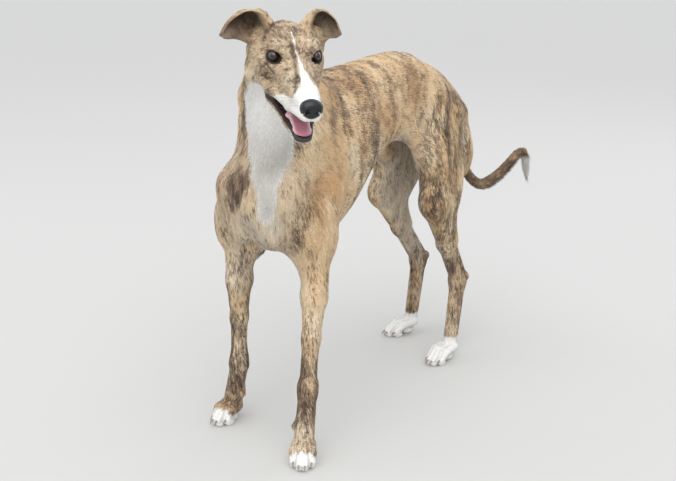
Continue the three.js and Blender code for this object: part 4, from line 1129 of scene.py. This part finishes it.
# Of the layers below, the grey-white one is painted shade, the grey and near-black ones partly paint shade,
# and the ear-tip one partly paints a highlight
coatLayers = [  # each lies over the one before it: where it lies, its colour, how strong it is
    ("grey", "grey", 0.85), ("onHead", "face", 0.75), ("onTail", "redBrown", 0.7), ("streak", "streak", 0.8),
    ("core", "darkStreak", 0.85), ("pale", "paleTan", 0.7), ("edged", "white", 1.0), ("dusk", "dusk", 0.75),
    ("innerEar", "innerEar", 0.92), ("earTip", "earTip", 0.85), ("ink", "ink", 0.94), ("mouth", "gum", 0.9),
]
streakForm = {  # what they are drawn on, streaks in a metre, stretch of the bands and of the flecks
    "onTrunk": ("weave", 165, (1, 1, 0.8), (1, 1, 1.7)), "onNeck": ("neckWeave", 165, (1, 1, 1), (1, 1.7, 1)),
    "onLegs": ("spot", 235, (1, 1, 0.27), (1, 1, 0.4)), "onHead": ("spot", 190, (1, 1, 1), (1, 1, 1)),
    "onTail": ("spot", 160, (1, 1, 1), (1, 1, 1)), "onEars": ("spot", 130, (1, 1, 1), (1, 1, 1)),
}
brindle = {
    "bandWidth": 6, "bandWeight": 0.55,  # flecks across a band, and how much the bands count beside them
    "darkening": 0.24,  # what a dark place adds to the pattern
    "streak": (0.72, 0.84), "core": (0.81, 0.97), "pale": (0.68, 0.54),  # where on the pattern each sets in
    "edged": (0.24, 0.76), "fray": 1.2,  # where the white sets in, and how ragged its edge is
    "blotches": 9.0, "locks": 260.0, "hairs": 700.0,  # in a metre
    "strands": (0.84, 1.1), "tips": 0.08,  # brightness of the hairs, and what their tips add
}


# Short brindle coat. Tan hair with broken dark streaks, that the eye takes as smoke over sand.
def shortCoat(name, strands):
    material, tree, shader = newMaterial(name)
    mark = {key: addNode(tree, "Attribute", out="Fac", attribute_name=key)
            for key in (*skinMarks, *(("strand", "tipward") if strands else ()))}
    pattern = None
    for part, (field, scale, *stretches) in streakForm.items():
        spot = mark[field].node.outputs["Vector"]
        bands, flecks = [addNode(tree, "Mapping", {"Vector": spot, "Scale": stretch})
                         for stretch in stretches]
        fine = addNode(tree, "TexNoise", {"Vector": flecks, "Scale": scale, "Detail": 5.0, "Roughness": 0.72,
                                          "Distortion": 0.5})
        band = addNode(tree, "TexNoise", {"Vector": bands, "Scale": scale / brindle["bandWidth"],
                                          "Detail": 3.0})
        level = addNode(tree, "Math", {0: band, 1: brindle["bandWeight"], 2: fine}, operation="MULTIPLY_ADD")
        level = addNode(tree, "Math", {0: level, 1: mark[part]}, operation="MULTIPLY")
        pattern = level if pattern is None else addNode(
            tree, "Math", {0: pattern, 1: level}, operation="ADD")
    pattern = addNode(tree, "Math", {0: mark["dark"], 1: brindle["darkening"], 2: pattern},
                      operation="MULTIPLY_ADD")
    spot = mark["spot"].node.outputs["Vector"]
    broad = addNode(tree, "TexNoise", {"Vector": spot, "Scale": brindle["blotches"], "Detail": 4.0})
    small = addNode(tree, "TexNoise", {"Vector": spot, "Scale": brindle["locks"], "Detail": 3.0})
    frayed = addNode(tree, "Math", {0: small, 1: -0.5}, operation="ADD")
    edge = addNode(tree, "Math", {0: frayed, 1: brindle["fray"], 2: mark["white"]}, operation="MULTIPLY_ADD")
    for key, value in (("streak", pattern), ("core", pattern), ("pale", pattern), ("edged", edge)):
        low, high = brindle[key]
        mark[key] = addNode(tree, "MapRange", {"Value": value, "From Min": low, "From Max": high},
                            interpolation_type="SMOOTHSTEP")
    colour = addNode(tree, "ValToRGB", {"Fac": broad})
    ramp = colour.node.color_ramp.elements
    ramp[0].position, ramp[1].position = 0.33, 0.67
    ramp[0].color, ramp[1].color = linear(coatColours["deepTan"]), linear(coatColours["paleTan"])
    ramp.new(0.5).color = linear(coatColours["tan"])
    for key, layer, strength in coatLayers:
        amount = addNode(tree, "Math", {0: mark[key], 1: strength}, operation="MULTIPLY", use_clamp=True)
        colour = layered(tree, colour, (amount, coatColours[layer]))
    if strands:  # hairs differ a little, and their tips are paler
        low, high = brindle["strands"]
        shade = addNode(tree, "MapRange", {"Value": mark["strand"], "To Min": low, "To Max": high})
        shade = addNode(tree, "Math", {0: mark["tipward"], 1: brindle["tips"], 2: shade},
                        operation="MULTIPLY_ADD")
    else:  # the skin seen between the hairs is a little darker
        shade = addNode(tree, "MapRange", {"Value": small, "From Min": 0.3, "From Max": 0.7, "To Min": 0.86})
        hairs = addNode(tree, "TexNoise", {"Vector": spot, "Scale": brindle["hairs"], "Detail": 2.0})
        bump = addNode(tree, "Bump", {"Height": hairs, "Strength": 0.5, "Distance": 0.0006})
        setInputs(shader, {"Normal": bump})
    setInputs(shader, {
        "Base Color": addNode(tree, "HueSaturation", {"Color": colour, "Value": shade}),
        "Roughness": addNode(tree, "MapRange", {"Value": small, "To Min": 0.5, "To Max": 0.74}),
        "IOR": 1.5, "Specular IOR Level": 0.22, "Sheen Weight": 0.05, "Sheen Roughness": 0.5})
    return material


skin.data.materials.append(shortCoat("shortHairOverSkin", False))
fleshNodes = [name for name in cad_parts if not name.startswith(("eye_", "nose", "tongue"))]
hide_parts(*fleshNodes)
print("stage: skin done")


# Eyes: a dark brown iris under a clear, wet cornea

eyeForm = {
    "rings": 40, "sides": 48, "irisRadius": 8.6, "pupilRadius": 3.4, "fibres": 9.0,
    "bulge": 1.5, "bulgeSpan": 0.5,  # of the cornea, in millimetres and radians
    "iris": "1e110b", "irisPale": "3d2315", "pupil": "050404", "rim": "0c0706", "white": "5c4a40",
}


def wetEye():
    material, tree, shader = newMaterial("wetDarkBrownEye")
    place = addNode(tree, "Attribute", out="Vector", attribute_name="eyeSpot")
    parts = addNode(tree, "SeparateXYZ", {0: place}).node.outputs
    flat = addNode(tree, "CombineXYZ", {0: parts[0], 2: parts[2]})
    away = addNode(tree, "VectorMath", {0: flat}, "Value", operation="LENGTH")
    angle = addNode(tree, "Math", {0: parts[0], 1: parts[2]}, operation="ARCTAN2")
    spokes = addNode(tree, "CombineXYZ", {0: angle, 1: away})
    fibres = addNode(tree, "TexNoise", {"Vector": spokes, "Scale": eyeForm["fibres"], "Detail": 4.0})
    colour = layered(tree, linear(eyeForm["iris"]), (fibres, eyeForm["irisPale"]))
    iris = eyeForm["irisRadius"]
    for name, radius, soft in (("pupil", eyeForm["pupilRadius"], -0.5), ("rim", iris - 1, 0.9),
                               ("white", iris + 0.2, 0.7)):
        share = addNode(tree, "MapRange", {"Value": away, "From Min": radius, "From Max": radius + soft},
                        interpolation_type="SMOOTHSTEP")
        colour = layered(tree, colour, (share, eyeForm[name]))
    setInputs(shader, {"Base Color": colour, "Roughness": 0.12, "IOR": 1.38, "Coat Weight": 1.0,
                       "Coat Roughness": 0.02})
    return material


# Four-sided faces between rings of points
def ringFaces(rings, sides, start=0):
    i = start + np.arange(rings - 1)[:, None] * sides
    j = np.arange(sides)[None]
    k = (j + 1) % sides
    return np.stack([i + j, i + k, i + sides + k, i + sides + j], -1).reshape(-1, 4)


def eyeball(s, material):
    place = eyePlace(s)
    radius, bulge = dog["eyeRadius"], eyeForm["bulge"]
    rings, sides = eyeForm["rings"], eyeForm["sides"]
    theta = np.linspace(0, math.pi, rings + 1)[1:-1, None]
    phi = np.linspace(0, 2 * math.pi, sides, endpoint=False)[None]
    out = radius + bulge * np.exp(-(theta / eyeForm["bulgeSpan"]) ** 4)
    local = np.stack([out * np.sin(theta) * np.cos(phi), out * np.cos(theta) * np.ones_like(phi),
                      out * np.sin(theta) * np.sin(phi)], -1).reshape(-1, 3)
    local = np.concatenate([local, [(0, radius + bulge, 0), (0, -radius, 0)]])
    front, back = len(local) - 2, len(local) - 1
    last = (rings - 2) * sides
    ends = [[front, (n + 1) % sides, n] for n in range(sides)]
    ends += [[back, last + n, last + (n + 1) % sides] for n in range(sides)]
    name = "eyeball_" + ("left" if s > 0 else "right")
    piece = meshOf(name, place.point(local), ringFaces(rings - 1, sides), ends)
    setValues(piece, "eyeSpot", local)
    piece.data.materials.append(material)
    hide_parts("eye_left" if s > 0 else "eye_right")


eyeMaterial = wetEye()
for s in (-1, 1):
    eyeball(s, eyeMaterial)
print("stage: eyes done")


# Nose leather, tongue, claws and whiskers

def boxAround(shapes, margin):
    low = np.min([shape["centre"] - shape["reach"] for shape in shapes], axis=0)
    high = np.max([shape["centre"] + shape["reach"] for shape in shapes], axis=0)
    return low - margin, high + margin


# A small piece of bare skin over some shapes, in place of a node
def bareSkin(name, shapes, solid, step, material, node):
    points, faces = netOf(shapes, *boxAround(solid, 3), step, rounds=2)
    piece = meshOf(name, points, faces)
    setValues(piece, "spot", points / 1000)
    piece.data.materials.append(material)
    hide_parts(node)
    return piece, points


noseForm = {  # sizes in millimetres, patches in a metre
    "step": 0.8, "skin": "0c0b0c", "worn": "24252a", "pebble": 1.6, "patches": 90.0,
}


# Nose leather: cobbled bare skin, grey where it catches the light and nearly black in its folds
def noseLeather():
    material, tree, shader = newMaterial("cobbledNoseLeather")
    spot = addNode(tree, "Attribute", out="Vector", attribute_name="spot")
    cells = addNode(tree, "TexVoronoi", {"Vector": spot, "Scale": 1000 / noseForm["pebble"]},
                    feature="SMOOTH_F1")
    patch = addNode(tree, "TexNoise", {"Vector": spot, "Scale": noseForm["patches"], "Detail": 3.0})
    setInputs(shader, {
        "Base Color": layered(tree, linear(noseForm["skin"]), (patch, noseForm["worn"])),
        "Roughness": addNode(tree, "MapRange", {"Value": cells, "To Min": 0.28, "To Max": 0.5}),
        "IOR": 1.45, "Specular IOR Level": 0.3, "Coat Weight": 0.35, "Coat Roughness": 0.22,  # damp
        "Normal": addNode(tree, "Bump", {"Height": cells, "Strength": 0.6, "Distance": 0.0005},
                          invert=True)})
    return material


nose = noseShapes()
bareSkin("nose_leather", nose, nose[:4], noseForm["step"], noseLeather(), "nose")

tongueForm = {
    # the pale pink along the edges is a painted highlight of their wet shine
    "step": 1.1, "pink": "c98c9b", "pale": "e2bec4", "deep": "ad6d7f", "papilla": 1.1, "patches": 110.0,
}


# Tongue: wet flesh with fine papillae, and a painted highlight of its wet shine that makes it paler along its
# edges
def wetTongue():
    material, tree, shader = newMaterial("wetTongueFlesh")
    spot = addNode(tree, "Attribute", out="Vector", attribute_name="spot")
    edge = addNode(tree, "Attribute", out="Fac", attribute_name="edge")
    patch = addNode(tree, "TexNoise", {"Vector": spot, "Scale": tongueForm["patches"], "Detail": 3.0})
    colour = layered(tree, linear(tongueForm["deep"]), (patch, tongueForm["pink"]),
                     (edge, tongueForm["pale"]))
    dots = addNode(tree, "TexVoronoi", {"Vector": spot, "Scale": 1000 / tongueForm["papilla"]})
    setInputs(shader, {
        "Base Color": colour,
        "Roughness": addNode(tree, "MapRange", {"Value": patch, "To Min": 0.22, "To Max": 0.42}),
        "IOR": 1.4, "Subsurface Weight": 0.2, "Subsurface Radius": (0.004, 0.0015, 0.001),
        "Normal": addNode(tree, "Bump", {"Height": dots, "Strength": 0.35, "Distance": 0.0004},
                          invert=True)})
    return material


tongue = tongueShapes()
piece, place = bareSkin("tongue_flesh", tongue, tongue, tongueForm["step"], wetTongue(), "tongue")
# painted highlight: paler towards both sides of the tongue
setValues(piece, "edge", smooth(9, 15, np.abs(head.local(place)[:, 0])))


# Round tapered bodies along lines: a list of (points on the line, radius at each)
def spines(name, runs, sides):
    points, quads, ends = [], [], []
    start = 0
    for line, radii in runs:
        along = np.gradient(line, axis=0)
        along /= lengths(along)
        first = np.cross(along, unit((0.31, 0.2, 0.93)))
        first /= lengths(first)
        second = np.cross(along, first)
        turn = np.linspace(0, 2 * math.pi, sides, endpoint=False)[None, :, None]
        ring = np.cos(turn) * first[:, None] + np.sin(turn) * second[:, None]
        points.append((line[:, None] + radii[:, None, None] * ring).reshape(-1, 3))
        quads.append(ringFaces(len(line), sides, start))
        ends.append(list(range(start + sides - 1, start - 1, -1)))
        start += len(line) * sides
        ends.append(list(range(start - sides, start)))
    return meshOf(name, np.concatenate(points), np.concatenate(quads), ends)


clawForm = {
    "radius": 2.2, "tip": 0.03, "steps": 12, "sides": 12,
    "dark": "5c4f47", "pale": "b5a798", "roughness": 0.4,
}


# Horn: layered and lightly translucent, dark and pale in fine bands
def hornOf(name, form):
    material, tree, shader = newMaterial(name)
    spot = addNode(tree, "TexCoord", out="Object")
    bands = addNode(tree, "TexNoise", {"Vector": spot, "Scale": 420.0, "Detail": 3.0})
    smoothest, roughest = form["roughness"] - 0.08, form["roughness"] + 0.08
    setInputs(shader, {
        "Base Color": layered(tree, linear(form["dark"]), (bands, form["pale"])),
        "Roughness": addNode(tree, "MapRange", {"Value": bands, "To Min": smoothest, "To Max": roughest}),
        "IOR": 1.54, "Normal": addNode(tree, "Bump", {"Height": bands, "Strength": 0.3, "Distance": 0.0003})})
    return material


clawHorn = hornOf("wornClawHorn", clawForm)
for name, leg in legs.items():
    at, reach = pawPlace(leg).point, pawReach(leg)
    radii = clawForm["radius"] * np.sqrt(np.linspace(1, clawForm["tip"], clawForm["steps"]))
    runs = []
    for across, short, _ in toeRow:
        x, tip = across * dog["toeGap"], reach - short
        line = [at((x, y - tip, z)) for y, z in ((6, 13.5), (-1, 12.5), (-4.5, 9.6), (-6.5, 6.2))]
        runs.append((curve(line, clawForm["steps"]), radii))
    spines("claws_" + name, runs, clawForm["sides"]).data.materials.append(clawHorn)

print("stage: nose, tongue and claws done")


# The coat: short flat tufts over the skin, each a thin three-sided blade, in millimetres

coatForm = {
    "tufts": {  # the skin that each has to itself, its length and its width
        "trunk": (8.6, 10.5, 1.35), "neck": (8, 10, 1.3), "head": (3.4, 5, 0.8), "legs": (6.2, 8, 1.1),
        "feet": (4.4, 5, 0.85), "ears": (4.6, 5, 0.75), "tail": (6, 10, 1.1)},
    "longer": (0.72, 1.25), "wider": (0.75, 1.2),  # how much they differ
    "footTop": (75, 45),  # where a leg's hair gives way to its foot's
    "thick": 0.26,  # share of the width
    "rooted": 0.35,  # how far the root is under the skin
    "clear": 0.6,  # least height above the floor
    "rise": (0.32, 0.5),  # height of the middle and the tip above the skin
    "droop": 0.22,  # share of its length that a loose tuft hangs
    "mostBend": 6,  # furthest that a tuft is moved to lie along the skin
    "stray": 6.5,  # how far the tufts turn aside, in degrees
    "most": 33000,  # tufts in a piece
    "patch": 0.0013,  # half the size of a tuft's place on the bake map
}


def overSkin(share, feet):
    limbs = both(share, "fore") + both(share, "hind")
    return {"trunk": share["trunk"], "neck": share["neck"], "head": share["head"], "legs": limbs * (1 - feet),
            "feet": limbs * feet, "ears": both(share, "ear"), "tail": share["tail"]}


def blended(measure, weights):
    return sum(coatForm["tufts"][part][measure] * weight for part, weight in weights.items())


chartForm = {  # where each part lies on the bake map: left, bottom, width, height
    "trunk": (0.01, 0.01, 0.56, 0.41), "neck": (0.01, 0.44, 0.2, 0.26), "head": (0.23, 0.44, 0.25, 0.26),
    "hindLeft": (0.59, 0.01, 0.4, 0.16), "hindRight": (0.59, 0.19, 0.4, 0.16),
    "foreLeft": (0.5, 0.44, 0.4, 0.12), "foreRight": (0.5, 0.58, 0.4, 0.12),
    "tail": (0.01, 0.72, 0.44, 0.06), "earLeft": (0.01, 0.8, 0.18, 0.18), "earRight": (0.21, 0.8, 0.18, 0.18),
}
unrolled = {  # where each starts, how long it is, height of its middle
    "trunk": (130, 770, 580), "neck": (90, 380, 0), "head": (140, 290, -20),
}


# Each part of the skin is unrolled round its own length
def chartOf(points, part):
    x, y, z = (neckPlace if part == "neck" else body if part == "trunk" else head).local(points).T
    if part.startswith("ear"):
        return np.clip(np.stack([np.abs(x) / 120, (z + 30) / 100], -1), 0, 1)
    if part in legs:
        leg = legs[part]
        names = ("shoulder", "elbow", "wrist") if "wrist" in leg else ("hip", "stifle", "hock")
        knots = np.array([leg[name] for name in (*names, "knuckle")])[::-1]
        x, z = [points[:, axis] - np.interp(points[:, 2], knots[:, 2], knots[:, axis]) for axis in (0, 1)]
        along = points[:, 2] / 720
    elif part == "tail":
        near = nearestOf(tailLine, points)
        x, _, z = (points - tailLine[near]).T
        along = near / len(tailLine) + 0.01
    else:
        start, length, middle = unrolled[part]
        along, z = (y + start) / length, z - middle
    return np.stack([np.clip(along, 0, 1), np.arctan2(x, z) / (2 * math.pi) + 0.5], -1)


# Where the tufts grow, as corners of the skin's faces with their weights
def sowTufts(feet):
    mesh.calc_loop_triangles()
    corners = np.empty(len(mesh.loop_triangles) * 3, dtype=np.int32)
    mesh.loop_triangles.foreach_get("vertices", corners)
    corners = corners.reshape(-1, 3)
    a, b, c = points[corners[:, 0]], points[corners[:, 1]], points[corners[:, 2]]
    area = np.linalg.norm(np.cross(b - a, c - a), axis=1) / 2
    bare = np.clip(skinMarks["ink"] * 2.2 - 0.9, 0, 1) + skinMarks["mouth"] * 2 + 0.55 * skinMarks["innerEar"]
    bare += (points[:, 2] < 4) + 2 * (distanceTo(points, noseShapes()[:4], margin=4) < 0.8)
    need = np.clip(1 - bare, 0, 1) / blended(0, overSkin(skinShare, feet))
    wanted = np.cumsum(area * need[corners].mean(1))
    count = int(wanted[-1])
    face = np.searchsorted(wanted, (np.arange(count) + rng.random(count)) * wanted[-1] / count)
    face = np.minimum(face, len(corners) - 1)
    u, v = rng.random((2, count))
    flip = u + v > 1
    u[flip], v[flip] = 1 - u[flip], 1 - v[flip]
    return corners[face], np.stack([1 - u - v, u, v], -1)


def growCoat():
    feet = smooth(*coatForm["footTop"], points[:, 2])
    corner, weight = sowTufts(feet)
    count = len(corner)

    def atRoots(values):
        return (values[corner] * (weight if values.ndim == 1 else weight[..., None])).sum(1)

    root, normal, flow = atRoots(points), atRoots(normals), atRoots(skinFlow)
    normal /= lengths(normal)
    flow -= (flow * normal).sum(1)[:, None] * normal
    flow /= lengths(flow) + 1e-6
    side = np.cross(normal, flow)
    turn = np.radians(rng.normal(0, coatForm["stray"], count))[:, None]
    flow, side = flow * np.cos(turn) + side * np.sin(turn), side * np.cos(turn) - flow * np.sin(turn)
    share = {key: atRoots(value) for key, value in skinShare.items()}
    weights = overSkin(share, atRoots(feet))
    length = blended(1, weights) * rng.uniform(*coatForm["longer"], count)
    width = blended(2, weights) * rng.uniform(*coatForm["wider"], count)
    loose = fringeOf(root, normal, weights)
    length *= 1 + loose
    lift = loose * length * coatForm["droop"]
    middle = root + flow * (length * 0.5)[:, None]
    tip = root + flow * length[:, None] + (0, 0, -1) * lift[:, None]
    low, high = coatForm["rise"]
    middle = settle(middle, flesh, coatForm["mostBend"], 1, low + lift * 0.3)
    tip = settle(tip, flesh, coatForm["mostBend"], 1, high + lift)
    for place in (middle, tip):
        place[:, 2] = np.maximum(place[:, 2], coatForm["clear"])
    half = side * (width / 2)[:, None]
    high = normal * (width * coatForm["thick"])[:, None]
    blade = np.stack([root - normal * coatForm["rooted"], middle - half, middle + half,
                      middle + high, tip], 1)
    values = {key: atRoots(value) for key, value in skinMarks.items()}
    values["strand"] = rng.random(count)
    main = np.array(list(groups))[np.argmax([share[key] for key in groups], axis=0)]
    makeCoat(root, normal, blade, values, main)


# Mesh pieces of the coat, each from tufts that lie close together
def makeCoat(root, normal, blade, values, main):
    sheet = np.array([(0, 2, 1), (0, 3, 2), (0, 1, 3), (4, 1, 2), (4, 2, 3), (4, 3, 1)])  # faces of a tuft
    offsets = np.array([(0, -1), (-1, 0), (1, 0), (0, 0.2), (0, 1)]) * coatForm["patch"]
    ends = blade.shape[1]
    pieceOf = {"earLeft": "head", "earRight": "head",
               "foreLeft": "foreleg_left", "foreRight": "foreleg_right",
               "hindLeft": "hindleg_left", "hindRight": "hindleg_right"}
    label = np.array([pieceOf.get(name, name) for name in main])
    for name in sorted(set(label)):
        every = np.nonzero(label == name)[0]
        every = every[np.argsort(root[every, 1], kind="stable")]
        for number, pick in enumerate(np.array_split(every, math.ceil(len(every) / coatForm["most"]))):
            faces = (np.arange(len(pick))[:, None, None] * ends + sheet[None]).reshape(-1, 3)
            piece = meshOf("coat_%s_%d" % (name, number), blade[pick].reshape(-1, 3), faces)
            for key, value in values.items():
                setValues(piece, key, np.repeat(value[pick], ends, axis=0))
            setValues(piece, "tipward", np.tile([0, 0.5, 0.5, 0.5, 1], len(pick)))
            piece.data.normals_split_custom_set_from_vertices(np.repeat(normal[pick], ends, axis=0).tolist())
            place = np.empty((len(pick), 2))
            for part in set(main[pick]):
                inPart = main[pick] == part
                left, bottom, wide, tall = chartForm[part]
                place[inPart] = (left, bottom) + chartOf(root[pick][inPart], part) * (wide, tall)
            flat = (place[:, None] + offsets[None]).reshape(-1, 2)[faces.ravel()]
            piece.data.uv_layers.new(name="OFBake").data.foreach_set("uv", flat.astype(np.float32).ravel())
            piece.data.materials.append(coatHair)
    print("stage: coat done,", len(main), "tufts")


# Where the hair stands off a little: under the tail, behind the thighs, and down the breast and belly
def fringeOf(root, normal, weights):
    _, y, z = root.T
    tail = weights["tail"] * smooth(0.2, -0.5, normal[:, 2]) * smooth(700, 760, y) * 1.3
    thigh = weights["legs"] * smooth(0.5, 0.9, normal[:, 1]) * smooth(330, 400, z) * 0.7
    keel = weights["trunk"] * smooth(-0.6, -0.95, normal[:, 2]) * 0.4
    elbow = weights["legs"] * np.exp(-((z - 380) / 26) ** 2) * smooth(0.3, 0.8, normal[:, 1]) * (y < 200)
    return tail + thigh + keel + elbow * 0.6


coatHair = shortCoat("shortCoatHair", True)
growCoat()

whiskerForm = {  # stiff hair of the same stuff as the claws, grey and pale in fine bands
    "radius": 0.26, "sides": 5, "length": (17, 30), "rows": 2, "inRow": 4, "overBrow": 3,
    "dark": "8d857b", "pale": "d8d2c8", "roughness": 0.45,
}
runs = []
for s in (-1, 1):
    for row in range(whiskerForm["rows"]):
        for n in range(whiskerForm["inRow"]):
            start = vec(s * (16 + n * 1.6), -112 + n * 9 + row * 1.5, -33 - row * 5)
            out = unit((s * (1 + 0.1 * n), 0.35 + 0.2 * n + rng.uniform(-0.1, 0.1), -0.05 - 0.1 * row))
            size = rng.uniform(*whiskerForm["length"])
            line = head.point([start - out * 3, start + out * size * 0.4,
                               start + out * size + vec(0, size * 0.16, -size * 0.18)])
            runs.append(curve(line, 7))
    for n in range(whiskerForm["overBrow"]):
        start = vec(s * (24 + 3 * n), -4 + 4 * n, 21)
        line = head.point([start - vec(0, 0, 3), start + vec(s * 2, -4, 7), start + vec(s * 5, -4, 14)])
        runs.append(curve(line, 6))
runs = [(line, whiskerForm["radius"] * np.linspace(1, 0.25, len(line))) for line in runs]
whiskers = spines("whiskers", runs, whiskerForm["sides"])
whiskers.data.materials.append(hornOf("whiskerHair", whiskerForm))
print("stage: whiskers done")


# Floor, light and camera

stageForm = {
    "floor": "c8c7c4", "size": 80, "world": "eef1f5", "worldStrength": 0.9,
    "lamps": [  # where it hangs, size in metres, power in watts
        ((1.2, -2.6, 3.2), 2.6, 34), ((-3.0, -1.4, 2.6), 3.0, 14), ((0.6, 3.0, 3.0), 3.0, 18)],
    "daylight": ((0.5, -0.9, 1.7), 80, 1.5),  # even light: from where, its spread in degrees, how strong
}
cameraForm = {  # worked out from the photograph, in the dog's own place
    "at": (1189, -1635, 951), "turn": 33.33, "rise": 15.39, "roll": 0.71, "pixels": 1099.7, "wide": 676,
}


def addObject(name, data):
    thing = bpy.data.objects.new(name, data)
    bpy.context.scene.collection.objects.link(thing)
    return thing


floorMesh = bpy.data.meshes.new("floor")
half = stageForm["size"] / 2
corners = [(-half, -half, 0), (half, -half, 0), (half, half, 0), (-half, half, 0)]
floorMesh.from_pydata(corners, [], [(0, 1, 2, 3)])
floor = addObject("floor", floorMesh)
material, tree, shader = newMaterial("paleStudioFloor")  # matt painted board
grain = addNode(tree, "TexNoise", {"Scale": 3.0, "Detail": 4.0})
tone = addNode(tree, "MapRange", {"Value": grain, "To Min": 0.96, "To Max": 1.03})
tinted = addNode(tree, "HueSaturation", {"Color": linear(stageForm["floor"]), "Value": tone})
setInputs(shader, {"Base Color": tinted, "Roughness": 0.8})
floorMesh.materials.append(material)

world = bpy.data.worlds.new("softStudio")
bpy.context.scene.world = world
world.use_nodes = True
setInputs(world.node_tree.nodes["Background"], {"Color": linear(stageForm["world"]),
                                                "Strength": stageForm["worldStrength"]})

middle = Vector((np.array(cadLow) + np.array(cadHigh)) / 2)
for number, (at, size, power) in enumerate(stageForm["lamps"]):
    light = bpy.data.lights.new("softbox_%d" % number, "AREA")
    light.shape, light.size, light.energy = "SQUARE", size, power
    lamp = addObject("softbox_%d" % number, light)
    lamp.location = at
    lamp.rotation_euler = (Vector(at) - middle).to_track_quat("Z", "Y").to_euler()
at, spread, strength = stageForm["daylight"]
sky = bpy.data.lights.new("evenDaylight", "SUN")
sky.energy, sky.angle = strength, math.radians(spread)
addObject("evenDaylight", sky).rotation_euler = Vector(at).to_track_quat("Z", "Y").to_euler()

turn, rise, roll = [math.radians(cameraForm[key]) for key in ("turn", "rise", "roll")]
back = vec(math.sin(turn) * math.cos(rise), -math.cos(turn) * math.cos(rise), math.sin(rise))
right = vec(math.cos(turn), math.sin(turn), 0)
up = np.cross(back, right)
across = math.cos(roll) * right + math.sin(roll) * up
above = math.cos(roll) * up - math.sin(roll) * right
cameraData = bpy.data.cameras.new("camera")
cameraData.sensor_width = 36
cameraData.lens = cameraData.sensor_width * cameraForm["pixels"] / cameraForm["wide"]
camera = addObject("camera", cameraData)
axes, at = np.stack([across, above, back], 1).tolist(), toFrame(cameraForm["at"])
camera.matrix_world = Matrix([(*row, place) for row, place in zip(axes, at)] + [(0, 0, 0, 1)])
bpy.context.scene.camera = camera
bpy.context.scene.view_settings.view_transform = "Standard"

print("stage: floor, light and camera done")
